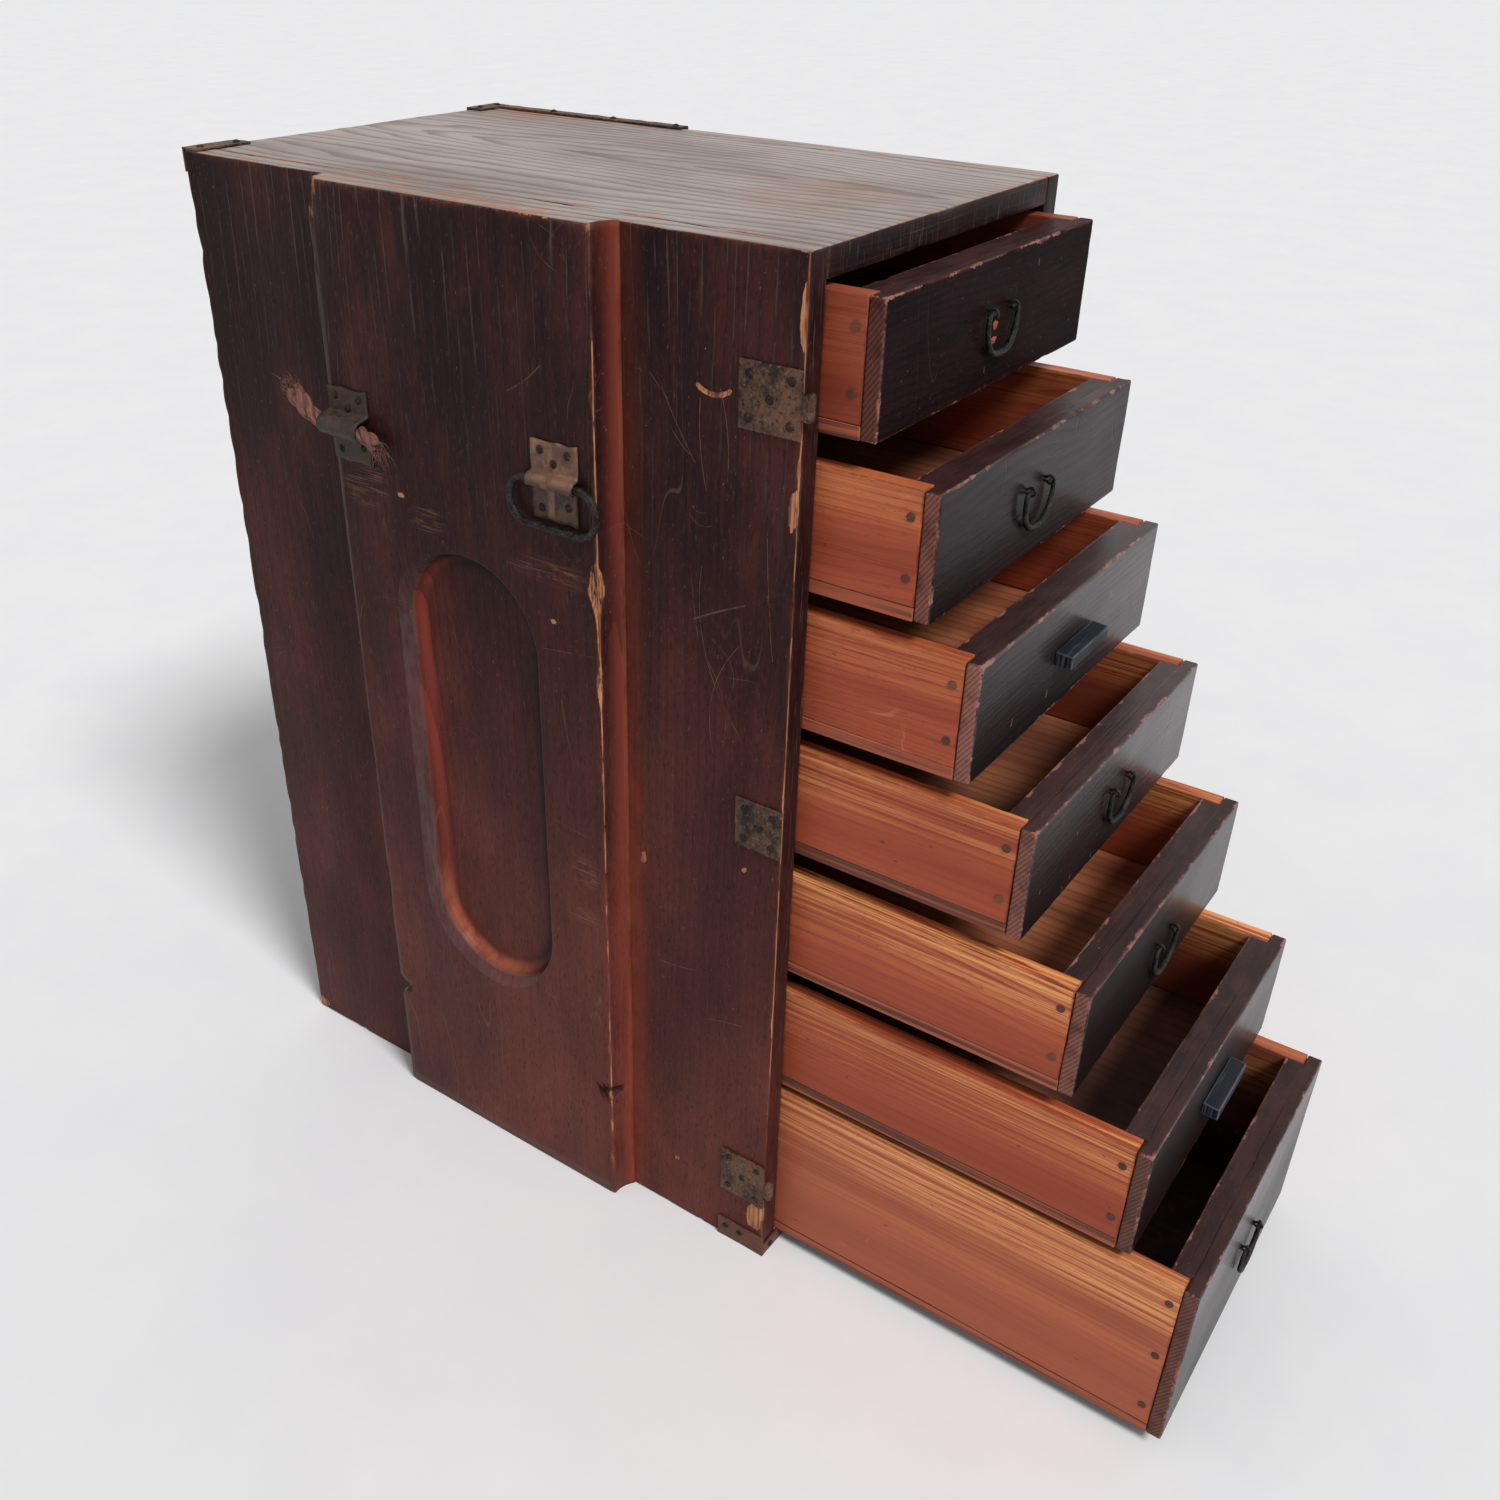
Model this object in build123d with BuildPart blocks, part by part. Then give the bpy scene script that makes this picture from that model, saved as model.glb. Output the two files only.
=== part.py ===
from build123d import *
import math
import os

os.makedirs("parts", exist_ok=True)

# Carcass: boards, in millimetres; the drawers face -Y and the carrying pad faces -X
width = 260.0
depth = 420.0
side_thk = 15.0
top_thk = 15.0
bottom_thk = 10.0
back_thk = 10.0

# Drawer stack, top drawer first: heights, and the gap below each drawer but the last
drawer_heights = [65.5, 65.5, 65.5, 65.5, 67.5, 73.0, 121.0]
drawer_gaps = [15.5, 12.0, 13.0, 16.0, 15.5, 6.0]
pulled_out = [29.7, 65.1, 95.1, 133.7, 174.8, 221.9, 261.8]
head_room = 3.2
run_gap = 0.3
under_gap = 1.5
drawer_side_clear = 1.0
rear_clear = 12.0

# Drawer boards and pegs
front_lip = 9.0
front_tongue = 11.0
front_ease = 1.2
drawer_side_thk = 11.0
drawer_back_thk = 10.0
drawer_bottom_thk = 7.0
peg_dia = 4.6
peg_len = 23.0
peg_margin = 14.0
pegs_per_joint = [2, 2, 2, 2, 2, 2, 3]
peg_fit = 0.05
peg_proud = 0.3

# Runners under the drawers
runner_w = 16.0
runner_setback = 12.0

# Bail pulls and block pulls: heights above each drawer's underside, shifts from its middle
bail_drawers = [0, 1, 3, 4, 6]
block_drawers = [2, 5]
pull_heights = [39.0, 39.0, 33.0, 38.8, 35.7, 36.5, 65.0]
pull_shifts = [3.0, -6.0, 2.0, 0.0, 0.0, 2.0, 0.0]
bail_wire_dia = 3.0
bail_stub_dia = 2.0
bail_fit = 0.3
bail_drop = 21.5
bail_reach = 5.0
bail_stub = 3.0
bail_corner = 3.5
bail_bow = 14.5
eye_pitch = 23.0
eye_wire_dia = 1.6
eye_off = 0.1
shank_dia = 2.4
clench_len = 8.0
block_len = 48.5
block_high = 8.5
block_deep = 10.0
block_slope = 1.0

# Carrying pad with its hollow and the two rope-worn notches
pad_thk = 17.0
pad_w = 192.0
pad_shift = -5.0
pad_flare = 4.5
pad_hollow = 2.2
recess_w = 98.0
recess_h = 293.0
recess_r = 45.0
recess_z = 294.5
recess_depth = 11.0
recess_cove = 7.0
rim_run = 5.0
rim_drop = 3.0
notch_z = 91.0
notch_major = 13.0
notch_minor = 2.8
notch_bite = 4.0

# Ironwork
iron_thk = 1.6
nail_dia = 2.2
nail_len = 12.0
nail_head_dia = 4.6
nail_head_high = 1.1
nail_fit = 0.05
leaf_w = 35.0
upper_leaf_h = 33.0
upper_leaf_drop = 67.5
middle_leaf_w = 30.0
middle_leaf_h = 31.0
middle_leaf_z = 328.5
lower_leaf_w = 33.0
lower_leaf_h = 36.0
lower_leaf_z = 61.0
leaf_inset = 6.0
knuckle_dia = 6.0
knuckle_len = 13.0
foot_iron_w = 34.0
foot_iron_h = 16.0
foot_front_w = 32.0
foot_front_gap = 0.5
crown_back_w = 39.0
crown_back_d = 12.0
crown_strip_len = 165.0
crown_strip_w = 8.0
crown_arm_w = 27.0

# Carrying strap: saddles on the pad, the iron ring and the rope end
strap_y = 75.0
strap_drop = 128.0
saddle_w = 30.0
saddle_up = 20.5
saddle_down = 21.5
saddle_nail_y = 9.0
saddle_nail_top = 15.5
saddle_nail_mid = 9.5
saddle_nail_low = 12.0
saddle_nail_foot = 15.5
ring_wire_dia = 4.0
ring_fit = 0.3
ring_wide = 58.0
ring_drop = 25.0
ring_corner = 12.0
rope_dia = 9.0
rope_fit = 0.2
rope_tail = 7.0
rope_lead = 3.5
rope_droop = 6.0
rope_lean = 1.5
rope_step = 8.0
rope_lift = 4.5
rope_end_lean = 5.0
rope_end_step = 14.5
rope_end_lift = 17.5

# Places worked out from the sizes above
front_y = -depth / 2
left_x = -width / 2
in_x = width / 2 - side_thk
pad_x = left_x - pad_thk
drawer_w = 2 * in_x - 2 * drawer_side_clear
drawer_len = depth - back_thk - rear_clear
front_thk = front_lip + front_tongue
drawer_count = len(drawer_heights)
drawer_bottoms = [0.0] * drawer_count
level = bottom_thk + run_gap
for index in reversed(range(drawer_count)):
    drawer_bottoms[index] = level
    level = level + drawer_heights[index]
    if index > 0:
        level = level + drawer_gaps[index - 1]
height = level + head_room + top_thk
upper_leaf_z = height - upper_leaf_drop
strap_z = height - strap_drop


def save(built, name):
    built.part.label = name
    export_step(built.part, "parts/" + name + ".step")
    print(name, len(built.part.solids()), "solids", round(built.part.volume / 1000, 2), "cm3")


# Nail places: each plane sits on the iron's outer face and looks outward
side_face_x = left_x - iron_thk
strap_face_x = pad_x - iron_thk


def side_plane(y, z):
    return Plane(origin=(side_face_x, y, z), x_dir=(0, -1, 0), z_dir=(-1, 0, 0))


def strap_plane(y, z):
    return Plane(origin=(strap_face_x, y, z), x_dir=(0, -1, 0), z_dir=(-1, 0, 0))


def top_plane(x, y):
    return Plane(origin=(x, y, height + iron_thk), x_dir=(1, 0, 0), z_dir=(0, 0, 1))


def front_plane(x, z):
    return Plane(origin=(x, front_y - iron_thk, z), x_dir=(1, 0, 0), z_dir=(0, -1, 0))


leaves = [
    (leaf_w, upper_leaf_h, upper_leaf_z),
    (middle_leaf_w, middle_leaf_h, middle_leaf_z),
    (lower_leaf_w, lower_leaf_h, lower_leaf_z),
]
nail_planes = []
for leaf_wide, leaf_high, leaf_z in leaves:
    near = front_y + leaf_inset
    far = front_y + leaf_wide - leaf_inset
    low = leaf_z - leaf_high / 2 + leaf_inset
    high = leaf_z + leaf_high / 2 - leaf_inset
    for y, z in [(near, low), (near, high), (far, low), (far, high), ((near + far) / 2, leaf_z)]:
        nail_planes.append(side_plane(y, z))
foot_nail_z = foot_iron_h - leaf_inset
for y in [front_y + foot_iron_w - leaf_inset, front_y + foot_iron_w / 2]:
    nail_planes.append(side_plane(y, foot_nail_z))
foot_front_h = bottom_thk - foot_front_gap
for x in [left_x + side_thk / 2, left_x + foot_front_w - leaf_inset]:
    nail_planes.append(front_plane(x, foot_front_h / 2))
crown_y = depth / 2 - crown_back_d / 2
for x in [left_x + side_thk / 2, left_x + crown_back_w - leaf_inset]:
    nail_planes.append(top_plane(x, crown_y))
nail_planes.append(top_plane(width / 2 - crown_arm_w + leaf_inset, crown_y))
crown_step = (crown_strip_len - 2 * leaf_inset) / 3
for step in range(4):
    y = depth / 2 - crown_strip_len + leaf_inset + step * crown_step
    nail_planes.append(top_plane(width / 2 - crown_strip_w / 2, y))
for side in [-1, 1]:
    for y_off, z_off in [
        (-saddle_nail_y, saddle_nail_top),
        (saddle_nail_y, saddle_nail_top),
        (0, saddle_nail_mid),
        (-saddle_nail_y, -saddle_nail_low),
        (saddle_nail_y, -saddle_nail_foot),
    ]:
        nail_planes.append(strap_plane(side * strap_y + y_off, strap_z + z_off))
nail_hole = nail_dia / 2 + nail_fit
down = (Align.CENTER, Align.CENTER, Align.MAX)


# Side boards, full height; the left one carries the pad and the leaf irons
with BuildPart() as left_side_board:
    with BuildSketch(Plane.XY):
        with Locations((left_x + side_thk / 2, 0)):
            Rectangle(side_thk, depth)
    extrude(amount=height)
    with Locations(*nail_planes):
        Cylinder(nail_hole, nail_len, align=down, mode=Mode.SUBTRACT)
save(left_side_board, "left_side_board")

with BuildPart() as right_side_board:
    with BuildSketch(Plane.XY):
        with Locations((-left_x - side_thk / 2, 0)):
            Rectangle(side_thk, depth)
    extrude(amount=height)
    with Locations(*nail_planes):
        Cylinder(nail_hole, nail_len, align=down, mode=Mode.SUBTRACT)
save(right_side_board, "right_side_board")

# Top and bottom boards between the sides
with BuildPart() as top_board:
    with BuildSketch(Plane.XY.offset(height - top_thk)):
        Rectangle(2 * in_x, depth)
    extrude(amount=top_thk)
    with Locations(*nail_planes):
        Cylinder(nail_hole, nail_len, align=down, mode=Mode.SUBTRACT)
save(top_board, "top_board")

with BuildPart() as bottom_board:
    with BuildSketch(Plane.XY):
        Rectangle(2 * in_x, depth)
    extrude(amount=bottom_thk)
    with Locations(*nail_planes):
        Cylinder(nail_hole, nail_len, align=down, mode=Mode.SUBTRACT)
save(bottom_board, "bottom_board")

# Back board, let in between top, bottom and sides
with BuildPart() as back_board:
    with BuildSketch(Plane.XY.offset(bottom_thk)):
        with Locations((0, depth / 2 - back_thk / 2)):
            Rectangle(2 * in_x, back_thk)
    extrude(amount=height - top_thk - bottom_thk)
save(back_board, "back_board")

# Carrying pad: plank with coved edges, a long round-ended hollow and two worn notches
pad_low = pad_shift - pad_w / 2
pad_high = pad_shift + pad_w / 2
with BuildPart() as back_pad_board:
    with BuildSketch(Plane.XY):
        with BuildLine():
            Line((left_x, pad_low - pad_flare), (left_x, pad_high + pad_flare))
            ThreePointArc(
                (left_x, pad_high + pad_flare),
                (left_x - pad_thk / 2, pad_high + pad_flare / 2 - pad_hollow),
                (pad_x, pad_high),
            )
            Line((pad_x, pad_high), (pad_x, pad_low))
            ThreePointArc(
                (pad_x, pad_low),
                (left_x - pad_thk / 2, pad_low - pad_flare / 2 + pad_hollow),
                (left_x, pad_low - pad_flare),
            )
        make_face()
    extrude(amount=height)
    with BuildSketch(Plane(origin=(pad_x, pad_shift, recess_z), x_dir=(0, -1, 0), z_dir=(-1, 0, 0))):
        RectangleRounded(recess_w, recess_h, recess_r)
    extrude(amount=-recess_depth, mode=Mode.SUBTRACT)
    floor = back_pad_board.faces().filter_by(Axis.X).sort_by(Axis.X)[1]
    fillet(floor.edges(), recess_cove)
    rim = back_pad_board.faces().filter_by(Axis.X).sort_by(Axis.X)[0]
    chamfer(rim.inner_wires()[0].edges(), rim_run, rim_drop, reference=rim)
    notch_off = (notch_major + notch_minor - notch_bite) / 2 ** 0.5
    with Locations((pad_x - notch_off, pad_low - notch_off, notch_z), (pad_x - notch_off, pad_high + notch_off, notch_z)):
        Torus(notch_major, notch_minor, mode=Mode.SUBTRACT)
    with Locations(*nail_planes):
        Cylinder(nail_hole, nail_len, align=down, mode=Mode.SUBTRACT)
save(back_pad_board, "back_pad_board")

# Runners: one pair under each drawer but the lowest, which runs on the bottom board
with BuildPart() as drawer_runners:
    for index in range(drawer_count - 1):
        runner_high = drawer_gaps[index] - run_gap - under_gap
        runner_long = depth - back_thk - runner_setback
        runner_mid = front_y + runner_setback + runner_long / 2
        with BuildSketch(Plane.XY.offset(drawer_bottoms[index] - run_gap - runner_high)):
            for side in [-1, 1]:
                with Locations((side * (in_x - runner_w / 2), runner_mid)):
                    Rectangle(runner_w, runner_long)
        extrude(amount=runner_high)
save(drawer_runners, "drawer_runners")

# Leaf irons on the front left edge, two with the knuckles of a lost door's hinges
with BuildPart() as front_edge_irons:
    for leaf_wide, leaf_high, leaf_z in leaves:
        with Locations((left_x - iron_thk / 2, front_y + leaf_wide / 2, leaf_z)):
            Box(iron_thk, leaf_wide, leaf_high)
    knuckle_y = front_y - knuckle_dia / 2
    for knuckle_z in [upper_leaf_z, lower_leaf_z]:
        with Locations((left_x, knuckle_y, knuckle_z)):
            Cylinder(knuckle_dia / 2, knuckle_len)
        with Locations((left_x - iron_thk / 2, front_y - knuckle_dia / 4, knuckle_z)):
            Box(iron_thk, knuckle_dia / 2, knuckle_len)
    with Locations(*nail_planes):
        Cylinder(nail_hole, nail_len, align=down, mode=Mode.SUBTRACT)
save(front_edge_irons, "front_edge_irons")

# Corner irons: the foot iron round the front left corner and two folded over the top's back corners
with BuildPart() as corner_irons:
    with BuildSketch(Plane.YZ.offset(left_x - iron_thk)):
        with Locations((front_y - iron_thk + (foot_iron_w + iron_thk) / 2, foot_iron_h / 2)):
            Rectangle(foot_iron_w + iron_thk, foot_iron_h)
    extrude(amount=iron_thk)
    with Locations((left_x + foot_front_w / 2, front_y - iron_thk / 2, foot_front_h / 2)):
        Box(foot_front_w, iron_thk, foot_front_h)
    with Locations((left_x + crown_back_w / 2, crown_y + iron_thk / 2, height + iron_thk / 2)):
        Box(crown_back_w, crown_back_d + iron_thk, iron_thk)
    with Locations((left_x + crown_back_w / 2, depth / 2 + iron_thk / 2, height - crown_back_d / 2)):
        Box(crown_back_w, iron_thk, crown_back_d)
    strip_long = crown_strip_len + iron_thk
    strip_y = depth / 2 + iron_thk - strip_long / 2
    arm_long = crown_arm_w + iron_thk
    arm_x = width / 2 + iron_thk - arm_long / 2
    with Locations((width / 2 - crown_strip_w / 2 + iron_thk / 2, strip_y, height + iron_thk / 2)):
        Box(crown_strip_w + iron_thk, strip_long, iron_thk)
    with Locations((width / 2 + iron_thk / 2, strip_y, height - crown_strip_w / 2)):
        Box(iron_thk, strip_long, crown_strip_w)
    with Locations((arm_x, crown_y + iron_thk / 2, height + iron_thk / 2)):
        Box(arm_long, crown_back_d + iron_thk, iron_thk)
    with Locations((arm_x, depth / 2 + iron_thk / 2, height - crown_back_d / 2)):
        Box(arm_long, iron_thk, crown_back_d)
    with Locations(*nail_planes):
        Cylinder(nail_hole, nail_len, align=down, mode=Mode.SUBTRACT)
save(corner_irons, "corner_irons")

# Strap saddles: plates with a rolled eye across, a small eye for the ring and a wide one for the rope
ring_bore = ring_wire_dia / 2 + ring_fit
rope_bore = rope_dia / 2 + rope_fit
ring_x = pad_x - iron_thk - ring_bore
rope_x = pad_x - iron_thk - rope_bore
eyes = [(-strap_y, ring_x, ring_bore), (strap_y, rope_x, rope_bore)]
with BuildPart() as strap_saddles:
    for y, eye_x, bore in eyes:
        with Locations((pad_x - iron_thk / 2, y, strap_z + (saddle_up - saddle_down) / 2)):
            Box(iron_thk, saddle_w, saddle_up + saddle_down)
        with Locations((eye_x, y, strap_z)):
            Cylinder(bore + iron_thk, saddle_w, rotation=(90, 0, 0))
    for y, eye_x, bore in eyes:
        with Locations((eye_x, y, strap_z)):
            Cylinder(bore, saddle_w * 2, rotation=(90, 0, 0), mode=Mode.SUBTRACT)
    with Locations(*nail_planes):
        Cylinder(nail_hole, nail_len, align=down, mode=Mode.SUBTRACT)
save(strap_saddles, "strap_saddles")

# Hand-made nails with domed heads, all alike
with BuildPart() as nail:
    with BuildSketch(Plane.XZ):
        with BuildLine():
            Line((0, -nail_len + 1), (0, nail_head_high))
            ThreePointArc(
                (0, nail_head_high),
                (nail_head_dia * 0.33, nail_head_high * 0.62),
                (nail_head_dia / 2, 0),
            )
            Line((nail_head_dia / 2, 0), (nail_dia / 2, 0))
            Line((nail_dia / 2, 0), (nail_dia / 2, -nail_len / 2))
            Line((nail_dia / 2, -nail_len / 2), (0, -nail_len + 1))
        make_face()
    revolve(axis=Axis.Z)
with BuildPart() as iron_nails:
    with Locations(*nail_planes):
        add(nail.part)
save(iron_nails, "iron_nails")

# Iron ring in the front saddle: straight bar in the eye, round ends, hanging
with BuildPart() as strap_ring:
    with BuildLine() as ring_path:
        FilletPolyline(
            (ring_x, -strap_y - ring_wide / 2, strap_z),
            (ring_x, -strap_y + ring_wide / 2, strap_z),
            (ring_x, -strap_y + ring_wide / 2, strap_z - ring_drop),
            (ring_x, -strap_y - ring_wide / 2, strap_z - ring_drop),
            radius=ring_corner,
            close=True,
        )
    with BuildSketch(Plane(origin=ring_path.line @ 0, z_dir=ring_path.line % 0)):
        Circle(ring_wire_dia / 2)
    sweep(path=ring_path.line)
save(strap_ring, "strap_ring")

# Rope end left in the back saddle: a tail, the run through the eye and the free end
rope_in = strap_y - saddle_w / 2
rope_out = strap_y + saddle_w / 2
rope_points = [
    Vector(rope_x, rope_in - rope_lead - rope_tail, strap_z - rope_droop),
    Vector(rope_x, rope_in - rope_lead, strap_z),
    Vector(rope_x, rope_out + rope_lead, strap_z),
    Vector(rope_x - rope_lean, rope_out + rope_lead + rope_step, strap_z + rope_lift),
    Vector(rope_x - rope_end_lean, rope_out + rope_lead + rope_end_step, strap_z + rope_end_lift),
]
rope_radii = []
for index in range(1, len(rope_points) - 1):
    before = rope_points[index] - rope_points[index - 1]
    after = rope_points[index + 1] - rope_points[index]
    half_turn = before.get_angle(after) / 2
    shorter = min(before.length, after.length)
    rope_radii.append(0.45 * shorter / math.tan(math.radians(half_turn)))
print("rope radii", [round(r, 1) for r in rope_radii])
with BuildPart() as strap_rope:
    with BuildLine() as rope_path:
        FilletPolyline(*rope_points, radius=rope_radii)
    with BuildSketch(Plane(origin=rope_path.line @ 0, z_dir=rope_path.line % 0)):
        Circle(rope_dia / 2)
    sweep(path=rope_path.line)
print("rope length", round(sum(edge.length for edge in rope_path.edges()), 1))
save(strap_rope, "strap_rope")


# Drawers: front with rabbeted ends, two sides, back, bottom and the pegs that hold them
def peg_rows(index):
    rows = pegs_per_joint[index]
    low = drawer_bottoms[index] + drawer_bottom_thk + peg_margin
    high = drawer_bottoms[index] + drawer_heights[index] - peg_margin
    return [low + (high - low) * row / (rows - 1) for row in range(rows)]


def pull_x(index, side):
    return pull_shifts[index] + side * eye_pitch / 2


for index in range(drawer_count):
    tag = "drawer_" + str(index + 1)
    tall = drawer_heights[index]
    base_z = drawer_bottoms[index]
    face_y = front_y - pulled_out[index]
    end_y = face_y + drawer_len
    front_peg_y = face_y + front_lip + front_tongue / 2
    back_peg_y = end_y - drawer_back_thk / 2
    peg_spots = []
    for side in [-1, 1]:
        for y in [front_peg_y, back_peg_y]:
            for z in peg_rows(index):
                peg_spots.append(
                    Plane(origin=(side * (drawer_w / 2 + peg_proud), y, z), x_dir=(0, 1, 0), z_dir=(side, 0, 0))
                )
    hole_r = peg_dia / 2 + peg_fit
    hole_len = peg_len + peg_proud + peg_fit

    with BuildPart() as drawer_front:
        with BuildSketch(Plane.XY.offset(base_z)):
            with Locations((0, face_y + front_lip / 2)):
                Rectangle(drawer_w, front_lip)
        extrude(amount=tall)
        chamfer(drawer_front.faces().sort_by(Axis.Y)[0].edges(), front_ease)
        with BuildSketch(Plane.XY.offset(base_z + drawer_bottom_thk)):
            with Locations((0, face_y + front_lip + front_tongue / 2)):
                Rectangle(drawer_w - 2 * drawer_side_thk, front_tongue)
        extrude(amount=tall - drawer_bottom_thk)
        with Locations(*peg_spots):
            Cylinder(hole_r, hole_len, align=down, mode=Mode.SUBTRACT)
        if index in bail_drawers:
            for side in [-1, 1]:
                with Locations((pull_x(index, side), face_y, base_z + pull_heights[index])):
                    Cylinder(shank_dia / 2 + peg_fit, 4 * front_thk, rotation=(90, 0, 0), mode=Mode.SUBTRACT)
    save(drawer_front, tag + "_front")

    with BuildPart() as drawer_sides:
        with BuildSketch(Plane.XY.offset(base_z + drawer_bottom_thk)):
            for side in [-1, 1]:
                with Locations((side * (drawer_w - drawer_side_thk) / 2, (face_y + front_lip + end_y) / 2)):
                    Rectangle(drawer_side_thk, drawer_len - front_lip)
        extrude(amount=tall - drawer_bottom_thk)
        with Locations(*peg_spots):
            Cylinder(hole_r, hole_len, align=down, mode=Mode.SUBTRACT)
    save(drawer_sides, tag + "_sides")

    with BuildPart() as drawer_back:
        with BuildSketch(Plane.XY.offset(base_z + drawer_bottom_thk)):
            with Locations((0, end_y - drawer_back_thk / 2)):
                Rectangle(drawer_w - 2 * drawer_side_thk, drawer_back_thk)
        extrude(amount=tall - drawer_bottom_thk)
        with Locations(*peg_spots):
            Cylinder(hole_r, hole_len, align=down, mode=Mode.SUBTRACT)
    save(drawer_back, tag + "_back")

    with BuildPart() as drawer_bottom:
        with BuildSketch(Plane.XY.offset(base_z)):
            with Locations((0, (face_y + front_lip + end_y) / 2)):
                Rectangle(drawer_w, drawer_len - front_lip)
        extrude(amount=drawer_bottom_thk)
    save(drawer_bottom, tag + "_bottom")

    with BuildPart() as drawer_pegs:
        with Locations(*peg_spots):
            Cylinder(peg_dia / 2, peg_len + peg_proud, align=down)
    save(drawer_pegs, tag + "_pegs")

# Bail pulls: two eyed posts through the front, clenched inside, and a drop bail between them
bail_r = bail_wire_dia / 2
stub_r = bail_stub_dia / 2
eye_r = eye_wire_dia / 2
eye_major = stub_r + bail_fit + eye_r
eye_stand = eye_off + eye_r + eye_major
shank_end = eye_stand + front_thk + shank_dia / 2
with BuildPart() as pull_post:
    Torus(eye_major, eye_r, rotation=(0, 90, 0))
    with Locations((0, (eye_major + shank_end) / 2, 0)):
        Cylinder(shank_dia / 2, shank_end - eye_major, rotation=(90, 0, 0))
    with Locations((0, shank_end, 0)):
        Cylinder(shank_dia / 2, clench_len, align=(Align.CENTER, Align.CENTER, Align.MIN))
        Sphere(shank_dia / 2)

far_x = eye_pitch / 2 + bail_reach
near_x = eye_pitch / 2 - bail_stub
with BuildPart() as drop_bail:
    with BuildLine() as bow_path:
        FilletPolyline(
            (-far_x, 0, -bail_corner),
            (-far_x, 0, -bail_drop),
            (far_x, 0, -bail_drop),
            (far_x, 0, -bail_corner),
            radius=bail_bow,
        )
    with BuildSketch(Plane(origin=bow_path.line @ 0, z_dir=bow_path.line % 0)):
        Circle(bail_r)
    sweep(path=bow_path.line)
    for side in [-1, 1]:
        with Locations((side * far_x, 0, -bail_corner)):
            Sphere(bail_r)
        with BuildLine() as stub_path:
            FilletPolyline(
                (side * near_x, 0, 0),
                (side * far_x, 0, 0),
                (side * far_x, 0, -bail_corner - bail_r),
                radius=bail_corner,
            )
        with BuildSketch(Plane(origin=stub_path.line @ 0, z_dir=stub_path.line % 0)):
            Circle(stub_r)
        sweep(path=stub_path.line)

for index in bail_drawers:
    tag = "drawer_" + str(index + 1)
    eye_y = front_y - pulled_out[index] - eye_stand
    pull_z = drawer_bottoms[index] + pull_heights[index]
    with BuildPart() as pull_posts:
        with Locations((pull_x(index, -1), eye_y, pull_z), (pull_x(index, 1), eye_y, pull_z)):
            add(pull_post.part)
    save(pull_posts, tag + "_pull_posts")

    with BuildPart() as bail:
        with Locations((pull_shifts[index], eye_y, pull_z)):
            add(drop_bail.part)
    save(bail, tag + "_bail")

# Block pulls: a bar whose top slopes a little to the front, glued on
for index in block_drawers:
    tag = "drawer_" + str(index + 1)
    face_y = front_y - pulled_out[index]
    pull_z = drawer_bottoms[index] + pull_heights[index]
    with BuildPart() as block_pull:
        with BuildSketch(Plane.YZ.offset(pull_shifts[index] - block_len / 2)):
            with BuildLine():
                Polyline(
                    (face_y, pull_z - block_high / 2),
                    (face_y - block_deep, pull_z - block_high / 2),
                    (face_y - block_deep, pull_z + block_high / 2 - block_slope),
                    (face_y, pull_z + block_high / 2),
                    close=True,
                )
            make_face()
        extrude(amount=block_len)
    save(block_pull, tag + "_block_pull")
print("height", round(height, 2), "nails", len(nail_planes))
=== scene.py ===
import bpy
import bmesh
import math
import numpy as np
from mathutils import Matrix, Vector


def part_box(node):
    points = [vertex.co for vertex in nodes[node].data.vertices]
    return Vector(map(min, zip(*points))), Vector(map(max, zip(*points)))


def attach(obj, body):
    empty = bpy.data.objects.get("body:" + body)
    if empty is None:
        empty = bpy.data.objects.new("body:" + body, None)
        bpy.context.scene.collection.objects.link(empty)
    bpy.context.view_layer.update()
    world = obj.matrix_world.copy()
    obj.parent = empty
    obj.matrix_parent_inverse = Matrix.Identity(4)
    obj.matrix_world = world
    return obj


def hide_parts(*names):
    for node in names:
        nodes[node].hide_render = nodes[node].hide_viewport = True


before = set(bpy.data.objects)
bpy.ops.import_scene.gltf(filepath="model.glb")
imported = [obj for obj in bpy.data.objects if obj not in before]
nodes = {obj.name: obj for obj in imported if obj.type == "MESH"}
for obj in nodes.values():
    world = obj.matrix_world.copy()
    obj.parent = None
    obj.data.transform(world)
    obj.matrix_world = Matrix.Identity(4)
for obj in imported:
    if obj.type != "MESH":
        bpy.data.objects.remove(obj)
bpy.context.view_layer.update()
scene = bpy.context.scene
scene.view_settings.view_transform = "Standard"
print("frame loaded with", len(nodes), "nodes")

# Camera: in front of the cabinet and to its left, looking down, for a square frame of 1500 by 1500
shot = {
    "place": (-0.6843, -0.5468, 0.7627),
    "azimuth": -55.113,
    "elevation": 31.587,
    "roll": -0.978,
    "lens": 34.886,
    "shift": (0.0286, 0.0189),
}


def direction(values):
    # azimuth a and elevation e in degrees as a pointer: (sin a cos e, -cos a cos e, sin e)
    a, e = math.radians(values["azimuth"]), math.radians(values["elevation"])
    return Vector((math.sin(a) * math.cos(e), -math.cos(a) * math.cos(e), math.sin(e)))


def addObject(name, data):
    made = bpy.data.objects.new(name, data)
    scene.collection.objects.link(made)
    return made


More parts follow.
